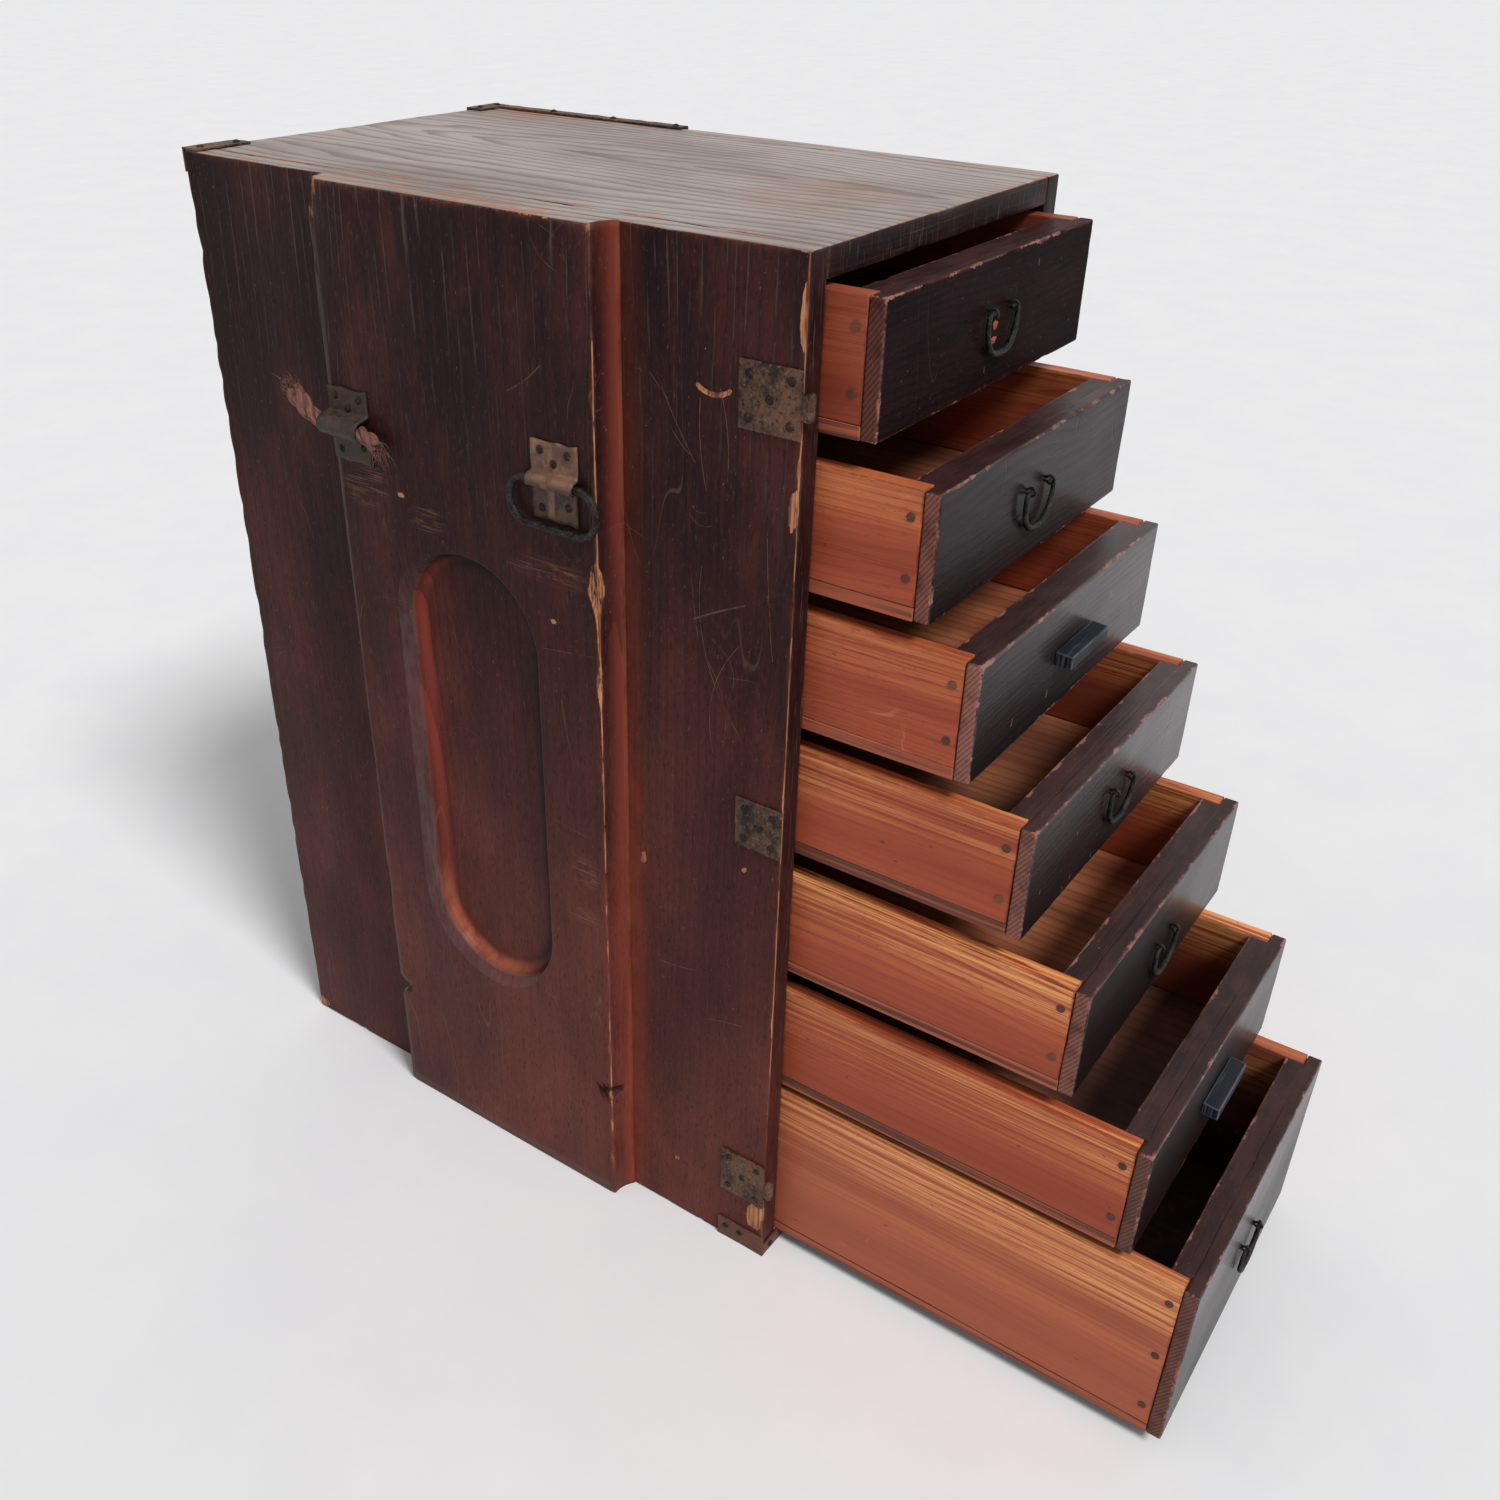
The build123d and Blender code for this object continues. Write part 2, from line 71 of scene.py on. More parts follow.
backward = direction(shot)
roll = math.radians(shot["roll"])
levelRight = (-backward).cross(Vector((0, 0, 1))).normalized()
levelDown = (-backward).cross(levelRight)
rightward = math.cos(roll) * levelRight + math.sin(roll) * levelDown
downward = -math.sin(roll) * levelRight + math.cos(roll) * levelDown
cameraData = bpy.data.cameras.new("camera")
cameraData.lens = shot["lens"]
cameraData.shift_x, cameraData.shift_y = shot["shift"]
cameraData.clip_start, cameraData.clip_end = 0.02, 200.0
camera = addObject("camera", cameraData)
turned = Matrix((rightward, -downward, backward)).transposed()
camera.matrix_world = Matrix.Translation(shot["place"]) @ turned.to_4x4()
scene.camera = camera
print("camera set")


# Numbers and colours
def tone(red, green, blue):
    # a colour given as 0 to 255, turned to linear light
    c = np.array([red, green, blue]) / 255
    c = np.where(c <= 0.04045, c / 12.92, ((c + 0.055) / 1.055) ** 2.4)
    return (float(c[0]), float(c[1]), float(c[2]), 1.0)


def cornerHash(cell, seed):
    # the three whole numbers of a lattice corner, stirred into one number from 0 to 1
    low32 = np.uint64(0xFFFFFFFF)
    c = cell.astype(np.uint64)
    h = c[..., 0] * np.uint64(73856093) ^ c[..., 1] * np.uint64(19349663) ^ c[..., 2] * np.uint64(83492791)
    h = (h + np.uint64(seed * 40503 + 17)) & low32
    h = ((h ^ (h >> np.uint64(15))) * np.uint64(2246822519)) & low32
    h = ((h ^ (h >> np.uint64(13))) * np.uint64(3266489917)) & low32
    return (h ^ (h >> np.uint64(16))).astype(float) / 4294967295.0


def softNoise(points, pitch, seed):
    # lattice noise: hashed corner values blended along each axis by 3t^2 - 2t^3
    q = points / np.asarray(pitch, float)
    base = np.floor(q)
    t = q - base
    t = t * t * (3 - 2 * t)
    cell = base.astype(np.int64)
    total = np.zeros(points.shape[:-1])
    for corner in range(8):
        off = np.array([corner & 1, corner >> 1 & 1, corner >> 2 & 1])
        total += np.where(off == 1, t, 1 - t).prod(axis=-1) * cornerHash(cell + off, seed)
    return total


def gridFaces(rows, cols, start=0, flip=False, loop=False):
    # quads between neighbouring points of a grid, closed from last row to first if it loops
    ids = start + np.arange(rows * cols).reshape(rows, cols)
    if loop:
        ids = np.concatenate([ids, ids[:1]])
    quads = np.stack([ids[:-1, :-1], ids[1:, :-1], ids[1:, 1:], ids[:-1, 1:]], axis=-1).reshape(-1, 4)
    return quads[:, ::-1] if flip else quads


def ringFaces(rings, sides):
    # point numbers of a stack of closed rings, and the quads between neighbouring rings
    ids = np.arange(rings * sides).reshape(rings, sides)
    wrapped = np.concatenate([ids, ids[:, :1]], axis=1)
    quads = [wrapped[:-1, :-1], wrapped[:-1, 1:], wrapped[1:, 1:], wrapped[1:, :-1]]
    return ids, np.stack(quads, axis=-1).reshape(-1, 4)


def ramp(value, reach=1.0):
    # a value over its reach, held between 0 and 1
    return np.clip(value / reach, 0, 1)


def weldPoints(points, faces):
    # points that share a place become one
    keys = np.round(points * 1e7).astype(np.int64)
    _, first, inverse = np.unique(keys, axis=0, return_index=True, return_inverse=True)
    return points[first], inverse.ravel()[faces]


def putPiece(name, points, faces, body, finish, stands=(), marks=None, caps=(), outward=False):
    # arrays into a mesh object at the origin, with its marks as point attributes, riding on its body
    mesh = bpy.data.meshes.new(name)
    mesh.from_pydata(points.tolist(), [], faces.tolist() + [list(cap) for cap in caps])
    if outward:
        work = bmesh.new()
        work.from_mesh(mesh)
        bmesh.ops.recalc_face_normals(work, faces=work.faces)
        work.to_mesh(mesh)
        work.free()
    for key, values in (marks or {}).items():
        mesh.attributes.new(key, "FLOAT", "POINT").data.foreach_set("value", values.astype(np.float32))
    mesh.polygons.foreach_set("use_smooth", np.ones(len(mesh.polygons), bool))
    mesh.materials.append(finish)
    piece = addObject(name, mesh)
    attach(piece, body)
    if stands:
        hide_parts(*stands)
    return piece


def joinTubes(tubes):
    # several closed tubes as one, each tube being points, faces and end caps
    starts = np.cumsum([0] + [len(points) for points, _, _ in tubes])
    faces = np.concatenate([f + start for (_, f, _), start in zip(tubes, starts)])
    caps = [[int(v + start) for v in cap] for (_, _, ends), start in zip(tubes, starts) for cap in ends]
    return np.concatenate([points for points, _, _ in tubes]), faces, caps


# Short forms of putPiece: closed tubes, and shapes that carry marks
def putTubes(name, tubes, body, finish, stands=()):
    points, faces, caps = joinTubes(tubes)
    return putPiece(name, points, faces, body, finish, stands, caps=caps, outward=True)


def putShape(name, shape, body, finish, node):
    points, faces, marks = shape
    return putPiece(name, points, faces, body, finish, [node], marks)


# Finishes are node trees; these short helpers add nodes to the tree in hand
bench = {"tree": None}


def newFinish(name):
    finish = bpy.data.materials.new(name)
    finish.use_nodes = True
    bench["tree"] = finish.node_tree
    return finish, finish.node_tree.nodes["Principled BSDF"]


def feed(socket, value):
    # links another node's output, or sets a plain value
    if isinstance(value, bpy.types.NodeSocket):
        bench["tree"].links.new(value, socket)
    else:
        socket.default_value = value


def addNode(kind, values=None, **settings):
    made = bench["tree"].nodes.new(kind)
    for key, value in settings.items():
        setattr(made, key, value)
    for key, value in (values or {}).items():
        feed(made.inputs[key], value)
    return made


def place(scale, turn=(0, 0, 0), shift=(0, 0, 0)):
    # object coordinates in metres, scaled to repeats per metre; one number scales all three axes
    scale = scale if np.ndim(scale) else (scale,) * 3
    vector = addNode("ShaderNodeTexCoord").outputs["Object"]
    values = {"Vector": vector, "Scale": scale, "Rotation": turn, "Location": shift}
    return addNode("ShaderNodeMapping", values).outputs["Vector"]


def noise(vector, detail, rough):
    values = {"Vector": vector, "Scale": 1.0, "Detail": detail, "Roughness": rough}
    return addNode("ShaderNodeTexNoise", values).outputs["Fac"]


def grain(scale, detail, rough, **moved):
    # noise over the object's own coordinates
    return noise(place(scale, **moved), detail, rough)


def mathHelper(operation):
    # a helper that works two numbers into one
    def worked(a, b=0.0, clamp=False):
        values = {0: a, 1: b}
        return addNode("ShaderNodeMath", values, operation=operation, use_clamp=clamp).outputs[0]
    return worked


times, plus, minus, larger = (mathHelper(key) for key in ("MULTIPLY", "ADD", "SUBTRACT", "MAXIMUM"))
above, below, unsigned, fraction, power = (
    mathHelper(key) for key in ("GREATER_THAN", "LESS_THAN", "ABSOLUTE", "FRACT", "POWER"))


def vectorMath(operation, values, result=0):
    return addNode("ShaderNodeVectorMath", values, operation=operation).outputs[result]


def span(value, low, high, first=0.0, last=1.0):
    # first below low, last above high, and a smooth step 3t^2 - 2t^3 between
    values = {"Value": value, "From Min": low, "From Max": high, "To Min": first, "To Max": last}
    return addNode("ShaderNodeMapRange", values, interpolation_type="SMOOTHSTEP").outputs["Result"]


def tint(amount, a, b):
    # colour a + amount (b - a)
    made = addNode("ShaderNodeMix", data_type="RGBA")
    for index, value in ((0, amount), (6, a), (7, b)):
        feed(made.inputs[index], value)
    return made.outputs[2]


def mark(name):
    # one of a mesh's point attributes
    return addNode("ShaderNodeAttribute", attribute_name=name).outputs["Fac"]


def alongAxis(kind, axis):
    # the part of the object coordinate or of the object-space normal along one axis
    vector = addNode("ShaderNodeTexCoord").outputs[kind]
    return addNode("ShaderNodeSeparateXYZ", {0: vector}).outputs[axis]


def facing(axis):
    return alongAxis("Normal", axis)


def coordinate(axis):
    return alongAxis("Object", axis)


def dress(shader, look, colour, roughness, height):
    # joins a finish's colour, roughness, shine and relief to its shader
    feed(shader.inputs["Base Color"], colour)
    feed(shader.inputs["Roughness"], roughness)
    shader.inputs["Specular IOR Level"].default_value = look["sheen"]
    strength, distance = look["bump"]
    bump = addNode("ShaderNodeBump", {"Strength": strength, "Distance": distance, "Height": height})
    feed(shader.inputs["Normal"], bump.outputs["Normal"])


def stretched(across, run, axis):
    # repeats per metre: few along the grain, many across it
    return [run if k == axis else across for k in range(3)]


def hairlines(scale, turn, shift, thick):
    # thin lines where a smooth noise passes its middle value, kept only in scattered fields
    curl = grain(scale, 1.0, 0.4, turn=turn, shift=shift)
    line = span(unsigned(minus(curl, 0.5)), thick * 0.4, thick, 1.0, 0.0)
    field = span(grain(9, 4, 0.65, shift=shift), 0.55, 0.66)
    return times(line, field)


def nicks(scale, shift, share):
    # small chips: the cores of a share of the cells of a Voronoi pattern
    cells = addNode("ShaderNodeTexVoronoi", {"Vector": place(scale, shift=shift), "Scale": 1.0})
    pick = addNode("ShaderNodeSeparateColor", {0: cells.outputs["Color"]})
    core = times(power(pick.outputs[1], 2.0), 0.22)
    ragged = grain([2.6 * s for s in scale], 3, 0.7, shift=shift)
    far = plus(cells.outputs["Distance"], times(minus(ragged, 0.46), 0.42))
    spot = below(far, core)
    return times(spot, above(pick.outputs[0], 1 - share))


def growthLines(across, axis, perMetre, sway, seed, bend=1.4):
    # growth rings on a board: the fraction part of (distance across x rings per metre + sway x slow noise),
    # a saw that rises slowly through each ring and drops at its edge
    slow = grain(stretched(11, bend, axis), 2, 0.5, shift=(seed, 1.7 * seed, 2.3 * seed))
    rough = grain(stretched(130, 8, axis), 3, 0.6)
    phase = times(coordinate(across), perMetre)
    phase = plus(phase, times(slow, sway))
    return fraction(plus(phase, times(rough, 0.6)))


# Old lacquer: dark coat over raised grain, redder where rubbed, raw wood where chipped, hairline scratches
carcassLook = {
    "axis": 2, "across": 1, "rings": 150.0, "sway": 12.0, "ridge": 0.3,
    "black": tone(17, 10, 12), "dark": tone(33, 17, 20), "mid": tone(46, 25, 26), "red": tone(107, 55, 47),
    "rub": tone(104, 58, 44), "dust": tone(112, 98, 92), "raw": tone(182, 126, 90), "scratch": tone(150, 118, 98),
    "redness": 0.3, "rubReach": 4.0, "rubShare": 0.4, "lowGlow": 0.8, "dustFrom": 0.4, "dustShare": 0.4,
    "gloss": (0.32, 0.5), "nickShare": 0.16, "sheen": 0.08, "streakShare": 0.14, "scarShare": 0.16, "ticks": 0.0,
    "bend": 1.4, "grit": 0.2, "arrisShare": 0.2, "bump": (0.6, 0.0006),
}
frontLook = {
    "axis": 0, "across": 2, "rings": 210.0, "sway": 9.0, "ridge": 0.4,
    "black": tone(11, 8, 9), "dark": tone(21, 14, 16), "mid": tone(34, 22, 25), "red": tone(64, 30, 25),
    "rub": tone(112, 60, 48), "dust": tone(84, 76, 76), "raw": tone(172, 98, 72), "scratch": tone(150, 132, 124),
    "redness": 0.25, "rubReach": 2.2, "rubShare": 0.45, "lowGlow": 0.0, "dustFrom": -1.0, "dustShare": 0.05,
    "gloss": (0.24, 0.4), "nickShare": 0.05, "streakShare": 0.02, "scarShare": 0.06, "ticks": 0.12,
    "bend": 4.0, "grit": 0.14, "arrisShare": 0.3, "flake": tone(164, 112, 98), "flakeReach": 7.0,
    # the grey tone next is a painted reflection of the pale room
    "haze": tone(98, 94, 95), "bump": (0.75, 0.0007),
}


def lacquerCoat(look):
    # colour, roughness, height and grain of the coat
    axis = look["axis"]
    saw = growthLines(look["across"], axis, look["rings"], look["sway"], 3.0, look["bend"])
    streak = grain(stretched(420, 20, axis), 3, 0.6)
    cloud = grain(stretched(8, 3, axis), 4, 0.6, shift=(4.1, 2.7, 9.3))
    blotch = grain(stretched(15, 6, axis), 5, 0.62, shift=(1.1, 5.2, 3.3))
    patch = grain(48, 5, 0.68)
    sliver = grain(stretched(280, 36, axis), 4, 0.66)
    edge, worn = mark("edge"), mark("worn")
    colour = tint(span(cloud, 0.36, 0.66), look["dark"], look["mid"])
    redness = times(span(blotch, 0.46, 0.7), look["redness"])
    # redder toward the bottom and the front: lacquer worn through to the red undercoat, with painted floor-bounce light
    if look["lowGlow"]:
        low = times(span(coordinate(2), -0.05, 0.6, 1.0, 0.0), look["lowGlow"])
        low = times(low, span(coordinate(1), -0.1, 0.2, 1.0, 0.45))
        redness = plus(redness, times(low, span(blotch, 0.25, 0.55, 0.5, 1.0)), True)
    colour = tint(redness, colour, look["red"])
    ridge = span(saw, 0.45, 1.0, 0.0, look["ridge"])
    if look["lowGlow"]:
        ridge = times(ridge, span(coordinate(2), 0.2, 0.55, 0.3, 1.0))
    colour = tint(ridge, colour, look["black"])
    colour = tint(span(streak, 0.54, 0.76, 0.0, look["streakShare"]), colour, look["rub"])
    dusty = times(span(saw, 0.78, 0.97), span(streak, 0.46, 0.62))
    dusty = times(dusty, span(coordinate(2), look["dustFrom"], look["dustFrom"] + 0.3, 0.0, look["dustShare"]))
    colour = tint(dusty, colour, look["dust"])
    grit = grain(stretched(640, 200, axis), 4, 0.7, shift=(2.2, 8.1, 0.7))
    colour = tint(span(grit, 0.46, 0.34, 0.0, 0.5), colour, look["black"])
    colour = tint(span(grit, 0.57, 0.72, 0.0, look["grit"]), colour, look["dust"])
    if "seam" in look:
        # redder in front of the pad's foot, fading forward
        seam = look["seam"]
        ahead = minus(seam["y"], coordinate(1))
        glow = times(span(ahead, 0.0, seam["reach"], seam["share"], 0.0), above(ahead, -0.002))
        glow = times(glow, span(patch, 0.3, 0.6, 0.5, 1.0))
        glow = times(glow, span(coordinate(2), 0.2, 0.55, 1.0, 0.4))
        colour = tint(glow, colour, seam["tone"])
    nearEdge = span(edge, 0.0, look["rubReach"], look["rubShare"], 0.0)
    colour = tint(times(nearEdge, span(patch, 0.42, 0.6)), colour, look["rub"])
    scars = plus(hairlines(13, (0, 0, 0), (3.0, 1.0, 7.0), 0.0022),
                 hairlines((34, 34, 5), (0.7, 0.3, 0.2), (8.0, 5.0, 2.0), 0.004), True)
    colour = tint(times(scars, look["scarShare"]), colour, look["scratch"])
    if look["ticks"]:
        tick = nicks((210, 210, 62), (3.3, 0.9, 4.7), look["ticks"])
        colour = tint(times(tick, 0.35), colour, look["scratch"])
    chipped = nicks(stretched(115, 62, axis), (1.3, 6.1, 2.9), look["nickShare"])
    speck = span(grain(stretched(620, 260, axis), 2, 0.6), 0.7, 0.76)
    edgeRaw = times(span(worn, 0.95, 1.5), span(sliver, 0.4, 0.52))
    bare = above(plus(mark("bare"), times(sliver, 0.9)), 0.95)
    edgeRaw = larger(edgeRaw, bare)
    if "arris" in look:
        # torn slivers along one arris, within a millimetre and a half of it
        thin = times(span(edge, 0.1, 1.6, 0.62, 0.0), below(coordinate(1), look["arris"][0]))
        thin = times(thin, below(coordinate(0), look["arris"][1]))
        thin = times(thin, span(grain((20, 20, 11), 3, 0.6), 0.36, 0.52))
        torn = above(plus(thin, times(sliver, 0.9)), look["arris"][2])
        edgeRaw = larger(edgeRaw, torn)
    # pale thin lines along the arrises: edge wear together with a painted edge highlight
    arrisWearAndHighlight = times(span(edge, 0.2, 1.3, look["arrisShare"], 0.0), span(sliver, 0.42, 0.58))
    colour = tint(arrisWearAndHighlight, colour, look["scratch"])
    raw = larger(edgeRaw, times(chipped, 0.55))
    raw = larger(raw, times(speck, 0.35))
    colour = tint(raw, colour, tint(span(streak, 0.4, 0.66), look["raw"], look["rub"]))
    gloss = span(cloud, 0.3, 0.7, look["gloss"][1], look["gloss"][0])
    gloss = plus(gloss, times(raw, 0.3), True)
    height = plus(times(saw, 0.6), times(streak, 0.4))
    height = minus(height, times(plus(scars, raw), 0.3))
    return colour, gloss, height, saw


def strokeMask(stroke):
    # a scratch from (y, z) to (y, z): distance of a point from that line, bowed sideways in its middle
    y0, z0, y1, z1, width, bow = stroke
    run = Vector((0, y1 - y0, z1 - z0))
    flat = vectorMath("SUBTRACT", {0: place((0, 1, 1)), 1: (0, y0, z0)})
    dot = vectorMath("DOT_PRODUCT", {0: flat, 1: run / run.length_squared}, "Value")
    share = times(dot, 1.0, True)
    arch = times(times(share, minus(1.0, share)), 4 * bow)
    shaft = vectorMath("SCALE", {0: run, "Scale": share})
    aside = vectorMath("SCALE", {0: Vector((0, -run.z, run.y)).normalized(), "Scale": arch})
    off = vectorMath("SUBTRACT", {0: flat, 1: shaft})
    off = vectorMath("SUBTRACT", {0: off, 1: aside})
    far = vectorMath("LENGTH", {0: off}, "Value")
    return span(far, width * 0.08, width * 0.62, 1.0, 0.0)


def largest(masks):
    # the strongest of several masks at each place
    total = masks[0]
    for mask in masks[1:]:
        total = larger(total, mask)
    return total


def strokesOver(colour, strokes, pale, breaks):
    # all the strokes together, broken up by a noise
    total = largest([strokeMask(stroke) for stroke in strokes])
    gaps = span(grain(90, 5, 0.72), breaks - 0.08, breaks + 0.22)
    return tint(times(times(total, gaps), 0.36), colour, pale)


def ovalReach(y, z, wide, tall):
    # distance from an oval's middle: 0 there, 1 on its outline
    flat = place((0, 1 / wide, 1 / tall), shift=(0, -y / wide, -z / tall))
    return vectorMath("LENGTH", {0: flat}, "Value")


def scuffMask(spots):
    # rubbed ovals given as (y, z, half width, half height), filled with broken scratches across the grain
    lines = grain((40, 36, 1100), 3, 0.7, turn=(0.12, 0, 0))
    field = grain((70, 70, 160), 4, 0.7)
    total = largest([span(ovalReach(*spot), 0.25, 1.15, 1.0, 0.0) for spot in spots])
    return times(total, times(span(lines, 0.46, 0.62), span(field, 0.36, 0.56)))


def chipMask(spots):
    # bare ovals given as (y, z, half width, half height), with a ragged outline
    ragged = grain(420, 3, 0.7)
    return largest([below(plus(ovalReach(*spot), ragged), 1.4) for spot in spots])


def weatheredCoat(look):
    # colour, roughness and height of the bleached top: rings about a long oval give cathedral grain
    oval = vectorMath("LENGTH", {0: place(look["ovalScale"], shift=look["ovalShift"])}, "Value")
    slow = grain((9, 2.2, 9), 3, 0.5)
    phase = plus(times(oval, look["rings"]), times(slow, look["sway"]))
    rough = grain((120, 10, 120), 3, 0.6)
    saw = fraction(plus(phase, times(rough, 0.5)))
    fibre = grain((520, 12, 520), 3, 0.6)
    cloud = grain((9, 5, 9), 5, 0.62)
    patch = grain(46, 5, 0.66)
    colour = tint(span(cloud, 0.34, 0.68), look["grey"], look["pale"])
    colour = tint(span(grain((7, 5, 7), 5, 0.6, shift=(5.0, 2.0, 8.0)), 0.52, 0.7, 0.0, 0.55), colour, look["warm"])
    colour = tint(span(saw, 0.4, 1.0, 0.0, 0.66), colour, look["line"])
    colour = tint(span(fibre, 0.54, 0.76, 0.0, 0.3), colour, look["line"])
    rubbed = times(span(mark("edge"), 0.3, 5.0, 0.6, 0.0), span(patch, 0.44, 0.6))
    colour = tint(rubbed, colour, look["edge"])
    height = plus(times(saw, 0.6), times(fibre, 0.5))
    return colour, span(cloud, 0.3, 0.7, 0.52, 0.38), height


def blendNumbers(share, a, b):
    # a + share (b - a)
    return plus(a, times(share, minus(b, a)))


# Top: weathered grey-brown where it faces up, lacquer on its edges; the side boards' upper ends match it
topLook = {
    "pale": tone(169, 157, 151), "grey": tone(140, 127, 121), "line": tone(92, 74, 68), "warm": tone(158, 112, 88),
    "edge": tone(168, 106, 72), "rings": 105.0, "sway": 9.0,
    "ovalScale": (1.0, 0.11, 0.0), "ovalShift": (-0.015, 0.0085, 0.0),
}
# scratches on the left side and the pad, from (y, z) to (y, z), with width and bow, in metres
sideStrokes = [
    (-0.1222, 0.5626, -0.1330, 0.5519, 0.0005, 0.0), (-0.1264, 0.5640, -0.1500, 0.5232, 0.0006, 0.0012),
    (-0.1525, 0.5556, -0.1567, 0.5105, 0.0006, 0.0018), (-0.1640, 0.5622, -0.1690, 0.5180, 0.0006, -0.0022),
    (-0.1360, 0.5368, -0.1469, 0.5266, 0.0005, 0.0006), (-0.1466, 0.4968, -0.1600, 0.4930, 0.0006, 0.0030),
    (-0.1480, 0.5010, -0.1560, 0.4990, 0.0005, 0.0014), (-0.1500, 0.4398, -0.1816, 0.4560, 0.0011, -0.0006),
    (-0.1545, 0.4700, -0.1797, 0.3811, 0.0005, 0.0100), (-0.1619, 0.4314, -0.1728, 0.3998, 0.0005, -0.0080),
    (-0.1790, 0.4330, -0.1640, 0.3640, 0.0005, 0.0090), (-0.1580, 0.4200, -0.1700, 0.3700, 0.0004, -0.0060),
    (-0.1277, 0.2056, -0.1539, 0.2104, 0.0006, 0.0008), (-0.1640, 0.1774, -0.1887, 0.1839, 0.0006, -0.0005),
    (-0.1475, 0.4692, -0.1530, 0.4291, 0.0004, 0.0004), (-0.1930, 0.4950, -0.1990, 0.4300, 0.0005, 0.0006),
]
padStrokes = [
    (-0.0448, 0.5435, -0.0671, 0.5596, 0.0011, 0.0012), (0.0428, 0.4690, 0.0384, 0.4676, 0.0024, 0.0004),
    (-0.0666, 0.4224, -0.0708, 0.4206, 0.0014, 0.0), (-0.0456, 0.3204, -0.0530, 0.3201, 0.0009, 0.0),
    (-0.0631, 0.6273, -0.0800, 0.6065, 0.0006, 0.0040), (-0.0700, 0.6260, -0.0860, 0.6120, 0.0006, -0.0030),
    (-0.0632, 0.2909, -0.0971, 0.2870, 0.0007, 0.0), (-0.0720, 0.3741, -0.0790, 0.3344, 0.0009, 0.0004),
    (-0.0688, 0.2312, -0.0956, 0.2385, 0.0007, 0.0003), (0.0644, 0.3298, 0.0574, 0.3236, 0.0006, 0.0),
    (0.0597, 0.6116, 0.0578, 0.6050, 0.0007, 0.0016), (-0.0600, 0.4030, -0.0960, 0.4080, 0.0006, 0.0),
]
padScuffs = [
    (-0.068, 0.4500, 0.034, 0.0085), (0.021, 0.4585, 0.015, 0.0100), (0.060, 0.4760, 0.014, 0.006),
    (-0.085, 0.2620, 0.013, 0.016), (-0.083, 0.2300, 0.014, 0.010), (0.070, 0.4650, 0.022, 0.012),
]
padChips = [(0.0405, 0.4683, 0.0028, 0.0016), (-0.0690, 0.4215, 0.0020, 0.0014), (-0.0493, 0.3203, 0.0034, 0.0011)]


def carcassFinish(name, look, top):
    finish, shader = newFinish(name)
    colour, gloss, height, _ = lacquerCoat(look)
    if "strokes" in look:
        outside = span(facing(0), -0.6, -0.9)
        colour = tint(outside, colour, strokesOver(colour, look["strokes"], look["scratch"], 0.38))
    ahead = span(facing(1), -0.6, -0.9)
    colour = tint(times(ahead, 0.5), colour, look["black"])
    ruled = span(grain((900, 900, 30), 3, 0.7), 0.58, 0.68, 0.0, 0.4)
    colour = tint(times(ahead, ruled), colour, look["dust"])
    topColour, topGloss, topHeight = weatheredCoat(top)
    up = span(facing(2), 0.6, 0.9)
    gloss, height = blendNumbers(up, gloss, topGloss), blendNumbers(up, height, topHeight)
    dress(shader, look, tint(up, colour, topColour), gloss, height)
    return finish


# Pad: the same coat; its coved sides and its hollow's wall toward the light are painted redder as painted light, the
# wall also rubbed
padLook = dict(carcassLook, redness=0.35, lowGlow=0.9, arris=(-0.05, -0.1435, 0.96))
padGlow = {
    "red": tone(127, 55, 43), "share": 0.85, "rim": tone(104, 84, 86), "rimShare": 0.42, "scrape": tone(140, 96, 72),
    "seam": tone(152, 88, 64), "shade": 0.85, "scuffs": 0.55, "chips": 0.85, "breaks": 0.42,
}


def padFinish(name, look, glow, top):
    finish, shader = newFinish(name)
    colour, gloss, height, saw = lacquerCoat(look)
    # painted light: red on the coved sides, and on the hollow's wall toward the light where the lacquer is also rubbed
    share = times(mark("carved"), span(saw, 0.2, 1.0, glow["share"], glow["share"] * 0.5))
    colour = tint(share, colour, glow["red"])
    # paler tan at the hollow's upward-facing foot on its lit side, worn wood with painted light, and along the worn
    # line at the seat
    foot = times(mark("seam"), span(grain((60, 60, 24), 4, 0.65), 0.34, 0.58, 0.15, 0.8))
    colour = tint(foot, colour, glow["seam"])
    rimStain = span(grain((190, 190, 60), 4, 0.66), 0.36, 0.6, 0.45, 1.0)
    rim = times(times(mark("rim"), glow["rimShare"]), rimStain)
    colour = tint(rim, colour, glow["rim"])
    colour = tint(times(mark("shade"), glow["shade"]), colour, look["black"])
    colour = tint(times(scuffMask(padScuffs), glow["scuffs"]), colour, glow["scrape"])
    colour = strokesOver(colour, padStrokes, glow["scrape"], glow["breaks"])
    colour = tint(times(chipMask(padChips), glow["chips"]), colour, look["raw"])
    topColour, _, _ = weatheredCoat(top)
    up = times(span(facing(2), 0.85, 0.97), above(coordinate(2), 0.6))
    dress(shader, look, tint(up, colour, topColour), gloss, height)
    return finish


# Drawer fronts: coat outside, bare cedar on the inner face, growth rings cut slanting on the ends
frontEnds = {
    "light": tone(150, 96, 82), "dark": tone(118, 71, 60), "inside": tone(140, 74, 50), "topRub": tone(84, 54, 51),
    "pitch": 160.0, "slant": 0.95,
}


